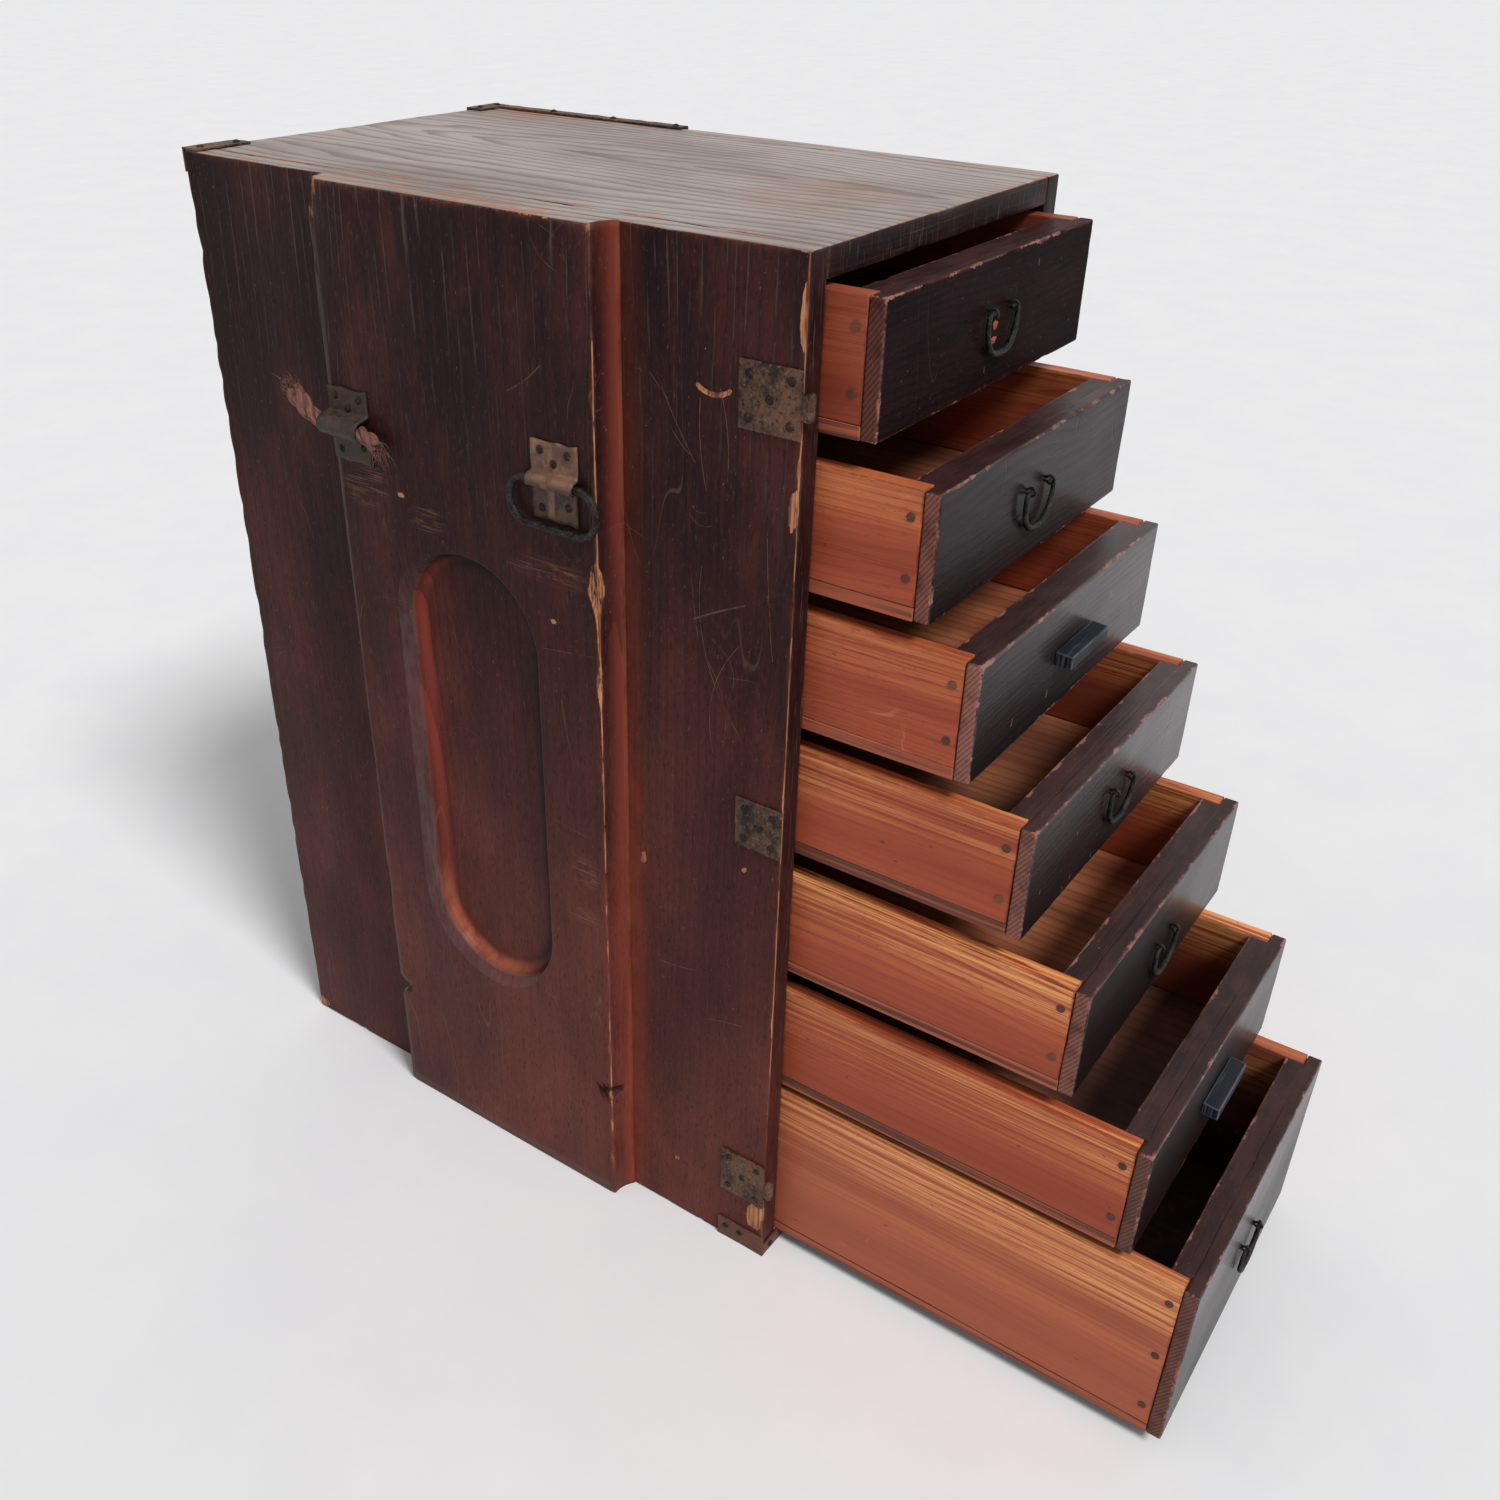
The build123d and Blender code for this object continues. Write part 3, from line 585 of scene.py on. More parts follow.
def frontFinish(name, look, ends):
    finish, shader = newFinish(name)
    colour, gloss, height, saw = lacquerCoat(look)
    wave = addNode("ShaderNodeTexWave", {
        "Vector": place(1, (ends["slant"], 0, 0)), "Scale": ends["pitch"], "Distortion": 2.0,
        "Detail": 3.0, "Detail Scale": 26.0}, wave_type="BANDS", bands_direction="Z")
    rings = tint(span(wave.outputs["Fac"], 0.2, 0.9), ends["light"], ends["dark"])
    endShare = span(unsigned(facing(0)), 0.8, 0.95)
    stain = span(grain(60, 4, 0.6), 0.3, 0.56, 0.45, 1.0)
    stain = times(stain, mark("pale"))
    colour = tint(times(endShare, stain), colour, rings)
    insideTone = tint(span(saw, 0.4, 1.0), ends["inside"], ends["dark"])
    insideShare = span(facing(1), 0.7, 0.9)
    colour = tint(insideShare, colour, insideTone)
    rubbedTop = times(span(facing(2), 0.6, 0.9), span(grain((24, 60, 60), 5, 0.7), 0.36, 0.66, 0.2, 0.55))
    colour = tint(rubbedTop, colour, ends["topRub"])
    # flakes lost along the arrises, in clusters
    torn = grain(stretched(110, 60, look["axis"]), 4, 0.68, shift=(5.3, 2.9, 8.7))
    near = span(mark("edge"), 0.0, look["flakeReach"], 0.5, 0.0)
    flake = above(plus(near, times(torn, 0.9)), 0.955)
    cluster = span(grain(38, 4, 0.68), 0.42, 0.56, 0.0, 0.7)
    colour = tint(times(flake, cluster), colour, look["flake"])
    # painted reflection: a grey tint on the outer face where the front would mirror the pale room
    haze = times(mark("polish"), span(saw, 0.9, 0.2, 0.6, 1.0))
    haze = times(haze, span(facing(1), -0.6, -0.9))
    colour = tint(haze, colour, look["haze"])
    gloss = plus(gloss, times(larger(endShare, insideShare), 0.25), True)
    dress(shader, look, colour, gloss, height)
    return finish


# Cedar: straight fine grain along the drawer, painted sunlit streaks near the upper edge, painted shade on the less lit
# drawers and on the inner faces
cedarLook = {
    "deep": tone(152, 68, 45), "mid": tone(186, 90, 58), "bright": tone(244, 172, 104), "line": tone(112, 48, 33),
    "grime": tone(62, 32, 26), "soot": tone(52, 30, 26), "pale": tone(222, 150, 112), "gloss": (0.4, 0.55),
    "rings": 190.0, "sway": 18.0, "sheen": 0.2, "bump": (0.5, 0.0004),
}


def cedarFinish(name, look):
    finish, shader = newFinish(name)
    saw = growthLines(2, 1, look["rings"], look["sway"], 6.0)
    broad = grain(stretched(34, 1.6, 1), 4, 0.6)
    streak = grain(stretched(330, 5, 1), 3, 0.6, shift=(5.0, 2.0, 1.0))
    blotch = grain((14, 8, 14), 5, 0.62)
    lift, sun = mark("lift"), mark("sun")
    colour = tint(span(broad, 0.3, 0.7), look["deep"], look["mid"])
    colour = tint(span(saw, 0.6, 1.0, 0.0, 0.3), colour, look["line"])
    colour = tint(span(streak, 0.54, 0.74, 0.0, 0.32), colour, look["line"])
    # painted light: bright streaks toward the upper edge, as strong as the drawer's share of sun
    upper = times(span(lift, 0.3, 1.0), sun)
    thread = grain(stretched(620, 4, 1), 3, 0.65, shift=(1.0, 4.0, 6.0))
    streaky = times(span(thread, 0.46, 0.6), span(broad, 0.36, 0.58))
    streaky = larger(streaky, times(span(saw, 0.75, 0.3), span(broad, 0.4, 0.66, 0.0, 0.7)))
    colour = tint(times(upper, streaky), colour, look["bright"])
    colour = tint(span(thread, 0.45, 0.33, 0.0, 0.45), colour, look["line"])
    colour = tint(span(blotch, 0.5, 0.74, 0.0, 0.4), colour, look["deep"])
    pore = grain(stretched(900, 160, 1), 3, 0.7)
    colour = tint(span(pore, 0.42, 0.3, 0.0, 0.5), colour, look["line"])
    # painted shade on the least lit drawers and low on the lit ones, and a painted paler tone on the most lit
    colour = tint(span(sun, 0.14, 0.34, 0.45, 0.0), colour, look["line"])
    colour = tint(times(span(lift, 0.75, 0.15, 0.0, 0.5), span(sun, 0.4, 0.8)), colour, look["deep"])
    colour = tint(span(sun, 0.9, 1.0, 0.0, 0.14), colour, look["pale"])
    # painted shade on the sides' inner faces, darker lower down
    colour = tint(times(mark("stain"), span(blotch, 0.3, 0.55, 0.6, 0.95)), colour, look["soot"])
    patch = grain(60, 5, 0.66)
    edge, worn = mark("edge"), mark("worn")
    dirty = times(span(edge, 0.0, 1.6, 0.6, 0.0), span(patch, 0.38, 0.58))
    colour = tint(dirty, colour, look["grime"])
    raw = times(span(worn, 0.75, 1.3), span(patch, 0.42, 0.56))
    colour = tint(times(raw, 0.7), colour, look["bright"])
    chipped = nicks((170, 110, 170), (2.2, 7.7, 4.4), 0.06)
    colour = tint(times(chipped, 0.45), colour, look["grime"])
    ruled = hairlines((20, 6, 26), (0.3, 0, 0), (1.0, 9.0, 4.0), 0.003)
    colour = tint(times(ruled, 0.3), colour, look["pale"])
    gloss = span(broad, 0.3, 0.7, look["gloss"][1], look["gloss"][0])
    dress(shader, look, colour, gloss, plus(times(saw, 0.5), times(streak, 0.5)))
    return finish


# Plain aged wood for drawer bottoms and backs, runners, pegs and plugs; bottoms match the cedar at their side edges
plainLook = {"sway": 7.0, "start": 9.0, "stain": 0.6, "gloss": (0.5, 0.72), "sheen": 0.3, "bump": (0.4, 0.0004)}


def plainWoodFinish(name, look):
    finish, shader = newFinish(name)
    axis = look["axis"]
    saw = growthLines(look["across"], axis, look["rings"], look["sway"], look["start"])
    streak = grain(stretched(330, 6, axis), 3, 0.6)
    band = grain(stretched(30, 2, axis), 3, 0.5, shift=(3.0, 8.0, 5.0))
    cloud = grain(12, 5, 0.64)
    colour = tint(span(band, 0.35, 0.66), look["deep"], look["mid"])
    colour = tint(span(saw, 0.5, 1.0, 0.0, 0.5), colour, look["line"])
    colour = tint(span(streak, 0.54, 0.76, 0.0, 0.4), colour, look["line"])
    colour = tint(span(cloud, 0.5, 0.7, 0.0, look["stain"]), colour, look["grime"])
    if "stained" in look:
        soaked = times(mark("stain"), span(cloud, 0.3, 0.5, 0.6, 1.0))
        colour = tint(soaked, colour, look["stained"])
    if "ends" in look:
        endShare = span(unsigned(facing(0)), 0.7, 0.9)
        colour = tint(endShare, colour, tint(span(streak, 0.4, 0.65), look["ends"], look["line"]))
    dress(shader, look, colour, span(cloud, 0.3, 0.7, *look["gloss"]), plus(saw, streak))
    return finish


# Stained block wood: blue-black, pale along the worn edges of its grain
blockLook = {
    "dark": tone(17, 19, 26), "mid": tone(31, 34, 43), "pale": tone(92, 98, 106), "gloss": (0.5, 0.36), "sheen": 0.16,
    "bump": (0.5, 0.0004),
}


def blockFinish(name, look):
    finish, shader = newFinish(name)
    streak = grain((26, 420, 420), 3, 0.6)
    cloud = grain((30, 60, 60), 4, 0.6)
    endLines = grain((60, 900, 40), 2, 0.5)
    endShare = span(unsigned(facing(0)), 0.7, 0.9)
    rubbed = times(span(mark("edge"), 0.2, 1.5, 0.8, 0.0), span(cloud, 0.36, 0.6, 0.25, 1.0))
    colour = tint(span(cloud, 0.35, 0.68), look["dark"], look["mid"])
    colour = tint(span(streak, 0.58, 0.78, 0.0, 0.35), colour, look["pale"])
    colour = tint(times(endShare, span(endLines, 0.5, 0.62, 0.0, 0.5)), colour, look["pale"])
    colour = tint(rubbed, colour, look["pale"])
    dress(shader, look, colour, span(cloud, 0.3, 0.7, *look["gloss"]), streak)
    return finish


# Iron: forged, dark, mottled with rust and fine pits
ironLook = {
    "dark": tone(28, 20, 16), "grey": tone(90, 66, 53), "rust": tone(120, 84, 62), "dust": tone(158, 124, 100),
    "pits": 480.0, "gloss": (0.4, 0.72), "sheen": 0.2, "bump": (0.7, 0.0008),
}
footRust = {"tone": tone(112, 70, 56), "share": 0.6, "top": 0.018}


def ironFinish(name, look, rusty, metal):
    finish, shader = newFinish(name)
    mottle = grain(120, 6, 0.7)
    speck = grain(look["pits"], 3, 0.6)
    cloud = grain(36, 4, 0.6, shift=(7.0, 3.0, 1.0))
    colour = tint(span(mottle, 0.36, 0.62), look["dark"], look["grey"])
    colour = tint(span(cloud, 0.62 - 0.3 * rusty, 0.8 - 0.3 * rusty, 0.0, 0.3 + 0.6 * rusty), colour, look["rust"])
    colour = tint(span(speck, 0.58, 0.76, 0.0, 0.2 + 0.5 * rusty), colour, look["dust"])
    colour = tint(span(speck, 0.46, 0.34, 0.0, 0.85), colour, look["dark"])
    if "foot" in look:
        low = span(coordinate(2), look["foot"]["top"], look["foot"]["top"] + 0.002, look["foot"]["share"], 0.0)
        colour = tint(low, colour, look["foot"]["tone"])
    shader.inputs["Metallic"].default_value = metal
    dress(shader, look, colour, span(mottle, 0.3, 0.7, *look["gloss"]), plus(mottle, times(speck, 0.6)))
    return finish


# Saddle iron: the front one's upper leaf is rubbed tan, its lower leaf and the back one are dark
saddleLook = dict(
    ironLook, dark=tone(36, 29, 27), tan=tone(140, 101, 80), fold=0.503, dripY=-0.0725, dripWide=0.0032,
    pits=560, gloss=(0.45, 0.75), sheen=0.35, metal=0.15)


def saddleFinish(name, look):
    finish, shader = newFinish(name)
    mottle = grain(110, 6, 0.7)
    speck = grain(look["pits"], 3, 0.6)
    colour = tint(span(mottle, 0.36, 0.64), look["dark"], look["grey"])
    colour = tint(span(speck, 0.56, 0.74, 0.0, 0.5), colour, look["rust"])
    upper = span(coordinate(2), look["fold"] - 0.003, look["fold"] + 0.002)
    upper = times(upper, below(coordinate(1), 0.0))
    cloud = grain(60, 4, 0.65, shift=(2.0, 5.0, 3.0))
    upper = times(upper, span(mottle, 0.64, 0.44, 0.1, 0.85))
    upper = times(upper, span(cloud, 0.36, 0.56, 0.3, 1.0))
    aside = unsigned(minus(coordinate(1), look["dripY"]))
    drip = times(span(aside, look["dripWide"], 0.3 * look["dripWide"]), span(mottle, 0.6, 0.4, 0.2, 0.7))
    colour = tint(larger(upper, drip), colour, look["tan"])
    back = times(above(coordinate(1), 0.0), span(cloud, 0.3, 0.6, 0.75, 0.4))
    colour = tint(back, colour, look["dark"])
    shader.inputs["Metallic"].default_value = look["metal"]
    dress(shader, look, colour, span(mottle, 0.3, 0.7, *look["gloss"]), plus(mottle, times(speck, 0.6)))
    return finish


# Rope: straw fibres laid along each strand
ropeLook = {
    "dark": tone(84, 50, 42), "mid": tone(136, 90, 74), "pale": tone(184, 140, 117), "rough": 0.85, "sheen": 0.5,
    "bump": (0.9, 0.0009),
}


def ropeFinish(name, look):
    finish, shader = newFinish(name)
    lay = addNode("ShaderNodeCombineXYZ", {"X": mark("round"), "Y": mark("run")}).outputs[0]
    thread = noise(addNode("ShaderNodeMapping", {"Vector": lay, "Scale": (9, 130, 1)}).outputs[0], 4, 0.65)
    cloud = grain(90, 3, 0.6)
    colour = tint(span(thread, 0.34, 0.66), look["dark"], look["mid"])
    colour = tint(span(thread, 0.58, 0.78, 0.0, 0.8), colour, look["pale"])
    colour = tint(span(cloud, 0.45, 0.7, 0.0, 0.5), colour, look["dark"])
    dress(shader, look, colour, look["rough"], thread)
    return finish


boardFinish = carcassFinish("oldLacquer", carcassLook, topLook)
leftBoardFinish = carcassFinish("scratchedLacquer", dict(
    carcassLook, strokes=sideStrokes, arris=(-0.2045, -0.1265, 0.88),
    seam={"y": -0.1055, "reach": 0.017, "share": 0.6, "tone": tone(140, 64, 44)}), topLook)
padBoardFinish = padFinish("padLacquer", padLook, padGlow, topLook)
frontSheens = [0.006, 0.07, 0.26, 0.24, 0.14, 0.16, 0.14]
drawerFrontFinishes = [
    frontFinish("frontLacquer%d" % (k + 1), dict(frontLook, sheen=sheen), frontEnds)
    for k, sheen in enumerate(frontSheens)]
topBoardFinish = carcassFinish(
    "weatheredTop", dict(carcassLook, axis=0, across=2, lowGlow=0.0, redness=0.7), topLook)
drawerSideFinish = cedarFinish("cedarSides", cedarLook)
bottomFinish = plainWoodFinish("drawerBottoms", dict(
    plainLook, axis=1, across=0, rings=130.0, deep=tone(134, 76, 52), mid=tone(182, 110, 74),
    line=tone(92, 50, 37), grime=tone(60, 38, 31), ends=tone(168, 86, 58), stained=tone(46, 34, 31)))
insideFinish = plainWoodFinish("insideWood", dict(
    plainLook, axis=0, across=2, rings=160.0, deep=tone(128, 68, 46), mid=tone(164, 92, 62),
    line=tone(70, 36, 28), grime=tone(48, 30, 26)))
pegFinish = plainWoodFinish("pegWood", dict(
    plainLook, axis=0, across=2, rings=700.0, deep=tone(88, 50, 38), mid=tone(124, 76, 56),
    line=tone(56, 32, 26), grime=tone(48, 29, 24)))
plugFinish = plainWoodFinish("plugWood", dict(
    plainLook, axis=1, across=2, rings=400.0, deep=tone(150, 72, 42), mid=tone(186, 98, 58),
    line=tone(104, 48, 32), grime=tone(90, 46, 34), stain=0.3))
blockPullFinish = blockFinish("blockStain", blockLook)
plateIron = ironFinish("plateIron", dict(ironLook, foot=footRust), 0.55, 0.08)
nailIron = ironFinish("nailIron", dict(
    ironLook, dark=tone(18, 15, 14), grey=tone(48, 38, 34), rust=tone(74, 54, 44)), 0.1, 0.2)
wireIron = ironFinish("wireIron", dict(
    ironLook, dark=tone(22, 20, 20), grey=tone(52, 49, 49), rust=tone(80, 58, 48)), 0.1, 0.5)
saddleIron = saddleFinish("saddleIron", saddleLook)
strandFinish = ropeFinish("strawRope", ropeLook)
print("finishes made")

# Rope end: one smooth line through the back saddle's eye; three strands laid round it
rope = {
    "route": [
        (-0.1533, 0.0495, 0.496), (-0.1533, 0.0565, 0.502), (-0.1533, 0.0935, 0.502),
        (-0.1548, 0.1015, 0.5065), (-0.1583, 0.108, 0.5195),
    ],
    "diameter": 0.009, "strands": 3, "strandRadius": 0.00215, "layRadius": 0.00235, "turns": 2.6, "sides": 12,
    "clubFrom": 0.72, "layClub": 0.15, "layRun": 0.2, "strandClub": 0.35, "strandRun": 0.16,
    "tipFrom": 0.94, "tipRun": 0.06, "tipTaper": 0.5,
}
lineCurve = bpy.data.curves.new("ropeLine", "CURVE")
lineCurve.dimensions = "3D"
lineCurve.resolution_u = 24
spline = lineCurve.splines.new("NURBS")
spline.points.add(len(rope["route"]) - 1)
spline.points.foreach_set("co", [v for point in rope["route"] for v in (*point, 1.0)])
spline.order_u = 3
spline.use_endpoint_u = True
lineObject = bpy.data.objects.new("ropeLine", lineCurve)
lineMesh = bpy.data.meshes.new_from_object(lineObject)
linePoints = np.empty(len(lineMesh.vertices) * 3)
lineMesh.vertices.foreach_get("co", linePoints)
linePoints = linePoints.reshape(-1, 3)
bpy.data.objects.remove(lineObject)


def runLength(path):
    # distance gone along a path at each of its points
    return np.concatenate([[0.0], np.linalg.norm(np.diff(path, axis=0), axis=1).cumsum()])


def crossFrame(path, over):
    # heading along a path, and two directions across it, the first one nearest to the given one
    heading = np.gradient(path, axis=0)
    heading /= np.linalg.norm(heading, axis=1, keepdims=True)
    across = np.asarray(over, float) - heading * (heading @ np.asarray(over, float))[:, None]
    across /= np.linalg.norm(across, axis=1, keepdims=True)
    return heading, across, np.cross(heading, across)


def tubeAlong(path, radius, sides, over=(1.0, 0, 0)):
    # a ring of points about each path point: centre + radius (cos a * across + sin a * beside), ends closed
    _, across, beside = crossFrame(path, over)
    angle = np.linspace(0, 2 * np.pi, sides, endpoint=False)[None, :, None]
    ring = across[:, None] * np.cos(angle) + beside[:, None] * np.sin(angle)
    points = path[:, None] + ring * np.broadcast_to(radius, len(path))[:, None, None]
    ids, faces = ringFaces(len(path), sides)
    return points.reshape(-1, 3), faces, [ids[0, ::-1].tolist(), ids[-1].tolist()]


gone = runLength(linePoints)
lineHeading, lineAcross, lineBeside = crossFrame(linePoints, (1.0, 0, 0))
clubbed, tipped = gone / gone[-1] - rope["clubFrom"], gone / gone[-1] - rope["tipFrom"]
swell = rope["layRadius"] * (1 + rope["layClub"] * ramp(clubbed, rope["layRun"]))
taper = rope["tipTaper"] * ramp(tipped, rope["tipRun"]) ** 2
thick = rope["strandRadius"] * (1 + rope["strandClub"] * ramp(clubbed, rope["strandRun"]) - taper)
strands = []
for strand in range(rope["strands"]):
    # strand centre: the line + lay radius (cos, sin) of an angle that grows along the rope
    angle = 2 * np.pi * (rope["turns"] * gone / gone[-1] + strand / rope["strands"])[:, None]
    centre = linePoints + swell[:, None] * (lineAcross * np.cos(angle) + lineBeside * np.sin(angle))
    strands.append(tubeAlong(centre, thick, rope["sides"]))
p, f, caps = joinTubes(strands)
around = np.tile(np.linspace(0, 1, rope["sides"], endpoint=False), len(gone))
ropeMarks = {
    "run": np.tile(np.repeat(gone, rope["sides"]), rope["strands"]),
    "round": np.concatenate([around + strand for strand in range(rope["strands"])]),
}
ropePiece = putPiece("strapRope", p, f, "carcass", strandFinish, ["strap_rope"], ropeMarks, caps)

# Frayed ends: loose straws leaving the cut strands in a spreading brush
fray = {
    "seed": 11, "lead": 160, "tail": 50, "leadLength": (0.0010, 0.0036), "tailLength": (0.003, 0.009),
    "leadScatter": 0.0024, "tailScatter": 0.0017, "tailDroop": 0.005, "tailAim": 0.6, "radius": 0.00022,
    "stray": 0.32, "curl": 0.28, "points": 6, "taper": (1.15, 0.8), "roundStep": 0.013,
}
draw = np.random.default_rng(fray["seed"])


def strawBrush(root, heading, number, lengths, droop, scatter):
    # each straw: root + heading s + curl s^2 - droop s^2, a thin three-sided tube
    straws = []
    s = np.linspace(0, 1, fray["points"])[:, None]
    thick = fray["radius"] * (fray["taper"][0] - s[:, 0] * fray["taper"][1])
    for _ in range(number):
        long = draw.uniform(*lengths)
        aim = heading + draw.normal(0, fray["stray"], 3)
        start = root + draw.normal(0, scatter, 3)
        curl = draw.normal(0, fray["curl"], 3)
        path = start + aim * long * s + curl * long * s ** 2 + np.array([0, 0, -droop]) * s ** 2
        straws.append(tubeAlong(path, thick, 3, (1.0, 0.01, 0.02)))
    return straws


straws = strawBrush(linePoints[-1], lineHeading[-1], fray["lead"], fray["leadLength"], 0.0, fray["leadScatter"])
straws += strawBrush(linePoints[0], -lineHeading[0] * fray["tailAim"], fray["tail"], fray["tailLength"],
                     fray["tailDroop"], fray["tailScatter"])
p, f, caps = joinTubes(straws)
frayMarks = {"run": p[:, 2], "round": np.arange(len(p)) * fray["roundStep"] % rope["strands"]}
frayPiece = putPiece("strapRopeFray", p, f, "carcass", strandFinish, marks=frayMarks, caps=caps)
print("rope end laid,", round(float(gone[-1]) * 1000, 1), "mm")

# Studio: a wide pale floor that fills the view, an even room and one soft sun from the front left
studio = {
    "floorTone": tone(238, 238, 239), "floorDusk": tone(234, 234, 236), "floorHalf": 60.0,
    "floorRough": 0.8, "floorSheen": 0.15, "fill": 0.42, "backdrop": 0.82,
}
sunLook = {"power": 2.3, "spread": 16.0, "azimuth": -20.0, "elevation": 50.0, "far": 3}
floorFinish, shader = newFinish("paleFloor")
cloud = grain(7, 6, 0.65)
feed(shader.inputs["Base Color"], tint(span(cloud, 0.3, 0.7), studio["floorTone"], studio["floorDusk"]))
shader.inputs["Roughness"].default_value = studio["floorRough"]
shader.inputs["Specular IOR Level"].default_value = studio["floorSheen"]
half = studio["floorHalf"]
floorMesh = bpy.data.meshes.new("floor")
floorMesh.from_pydata([(-half, -half, 0), (half, -half, 0), (half, half, 0), (-half, half, 0)], [], [(0, 1, 2, 3)])
floorMesh.materials.append(floorFinish)
floorPiece = addObject("floor", floorMesh)

world = bpy.data.worlds.new("room")
scene.world = world
world.use_nodes = True
room = world.node_tree.nodes["Background"]
room.inputs["Color"].default_value = (1.0, 1.0, 1.0, 1.0)
# the room lights the object evenly, and is pale where it is seen, directly or in gloss
bench["tree"] = world.node_tree
rays = addNode("ShaderNodeLightPath").outputs
seen = plus(rays["Is Glossy Ray"], rays["Is Transmission Ray"])
seen = plus(rays["Is Camera Ray"], seen, True)
paler = times(seen, studio["backdrop"] - studio["fill"])
feed(room.inputs["Strength"], plus(paler, studio["fill"]))

sunData = bpy.data.lights.new("sun", "SUN")
sunData.energy = sunLook["power"]
sunData.angle = math.radians(sunLook["spread"])
toSun = direction(sunLook)
sunTurn = toSun.to_track_quat("Z", "Y").to_matrix().to_4x4()
addObject("sun", sunData).matrix_world = Matrix.Translation(toSun * sunLook["far"]) @ sunTurn
print("studio lit")


# Boards are boxes with worn edges: rows of points over the eased edge, pitches of the fine chips and of the broad
# change of ease against the coarse chips, the coarse chips' share, and the most that wear takes of the thinnest side
wearMix = {
    "rows": (0.0, 0.28, 0.6, 1.0, 1.6), "inset": 2.4, "mostEase": 6.5, "closest": 2e-5,
    "finePitch": 0.36, "broadPitch": 4, "coarse": 0.62, "fine": 0.38, "most": 0.42, "dentPitch": 0.03,
}


def boardLines(low, high, step, ease, extra=()):
    # marks across a board: crowded over the eased edge, then an even step, with any extra marks
    reach = min(ease, (high - low) / wearMix["mostEase"])
    near = reach * np.array(wearMix["rows"])
    inset = wearMix["inset"] * reach
    inner = np.linspace(low + inset, high - inset, max(2, int((high - low) / step)))
    marks = np.sort(np.concatenate([low + near, inner, high - near, np.asarray(extra, float)]))
    return marks[np.concatenate([[True], np.diff(marks) > wearMix["closest"]])]


def wornBox(low, high, wear, bites=(), extra=((), (), ())):
    # inner point q = p held inside the box shrunk by r; the surface is q + r (p - q)/|p - q|,
    # where r is the edge's ease, grown by chips and by any listed bites
    low, high = np.array(low, float), np.array(high, float)
    lines = [boardLines(low[k], high[k], wear["step"], 2.0 * wear["ease"], extra[k]) for k in range(3)]
    points, faces, count = [], [], 0
    for k in range(3):
        i, j = (k + 1) % 3, (k + 2) % 3
        gi, gj = np.meshgrid(lines[i], lines[j], indexing="ij")
        for end, flip in ((low[k], True), (high[k], False)):
            p = np.empty(gi.shape + (3,))
            p[..., i], p[..., j], p[..., k] = gi, gj, end
            points.append(p.reshape(-1, 3))
            faces.append(gridFaces(*gi.shape, count, flip))
            count += gi.size
    p, faces = weldPoints(np.concatenate(points), np.concatenate(faces))
    edge = np.sort(np.minimum(p - low, high - p), axis=1)[:, 1]
    coarse = softNoise(p, wear["pitch"], wear["seed"])
    fine = softNoise(p, wear["pitch"] * wearMix["finePitch"], wear["seed"] + 1)
    broad = softNoise(p, wear["pitch"] * wearMix["broadPitch"], wear["seed"] + 2)
    chip = ramp(wearMix["coarse"] * coarse + wearMix["fine"] * fine - wear["keep"], 1 - wear["keep"])
    r = wear["ease"] * (0.5 + broad) + wear["bite"] * chip
    for centre, spread, deep in bites:
        near = np.exp(-(((p - np.array(centre)) / np.array(spread)) ** 2).sum(axis=1))
        r = r + deep * near * (0.55 + 0.9 * fine)
    r = np.minimum(r, wearMix["most"] * (high - low).min())[:, None]
    q = np.clip(p, low + r, high - r)
    outward = (p - q) / np.maximum(np.linalg.norm(p - q, axis=1, keepdims=True), 1e-9)
    shaped = q + r * outward
    worn = np.linalg.norm(shaped - p, axis=1)
    dents = softNoise(p, wear.get("dentPitch", wearMix["dentPitch"]), wear["seed"] + 3)
    shaped = shaped - outward * (wear.get("dent", 0.0) * dents)[:, None]
    return shaped, faces, {"edge": edge * 1000, "worn": worn * 1000}


def joinShapes(shapes):
    # several shapes in one mesh
    points, faces, marks, count = [], [], {}, 0
    for p, f, m in shapes:
        points.append(p)
        faces.append(f + count)
        count += len(p)
        for key, values in m.items():
            marks.setdefault(key, []).append(values)
    return np.concatenate(points), np.concatenate(faces), {key: np.concatenate(v) for key, v in marks.items()}


def boxOf(node):
    # low and high corner of a node's solid, in metres
    low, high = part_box(node)
    return np.array(low), np.array(high)


# Side boards: the left one chipped along its front edge and ragged at the back
leftX, frontY, backY, topZ = -0.130, -0.210, 0.210, 0.630
leftChips = [((leftX, frontY, z), (wide, wide, tall), deep) for z, wide, tall, deep in (
    (0.612, 0.006, 0.016, 0.0042), (0.596, 0.006, 0.006, 0.0030), (0.532, 0.006, 0.008, 0.0036),
    (0.513, 0.006, 0.009, 0.0042), (0.478, 0.005, 0.006, 0.0024), (0.430, 0.005, 0.005, 0.0022),
    (0.348, 0.006, 0.006, 0.0036), (0.262, 0.005, 0.006, 0.0024), (0.196, 0.005, 0.007, 0.0026),
    (0.128, 0.005, 0.007, 0.0024), (0.036, 0.010, 0.014, 0.0056))]
backWide, backLong, backDeep = 0.007, 0.8, 0.5
leftChips += [((leftX, backY, z), (backWide, backWide, backLong * long), backDeep * deep) for z, long, deep in (
    (0.598, 0.007, 0.0034), (0.574, 0.006, 0.0046), (0.548, 0.009, 0.0040), (0.521, 0.006, 0.0052),
    (0.500, 0.007, 0.0036), (0.476, 0.006, 0.0048), (0.452, 0.010, 0.0036), (0.418, 0.006, 0.0044),
    (0.392, 0.008, 0.0030), (0.350, 0.006, 0.0040), (0.300, 0.010, 0.0026), (0.250, 0.006, 0.0032),
    (0.190, 0.008, 0.0024), (0.120, 0.007, 0.0030), (0.060, 0.006, 0.0026))]
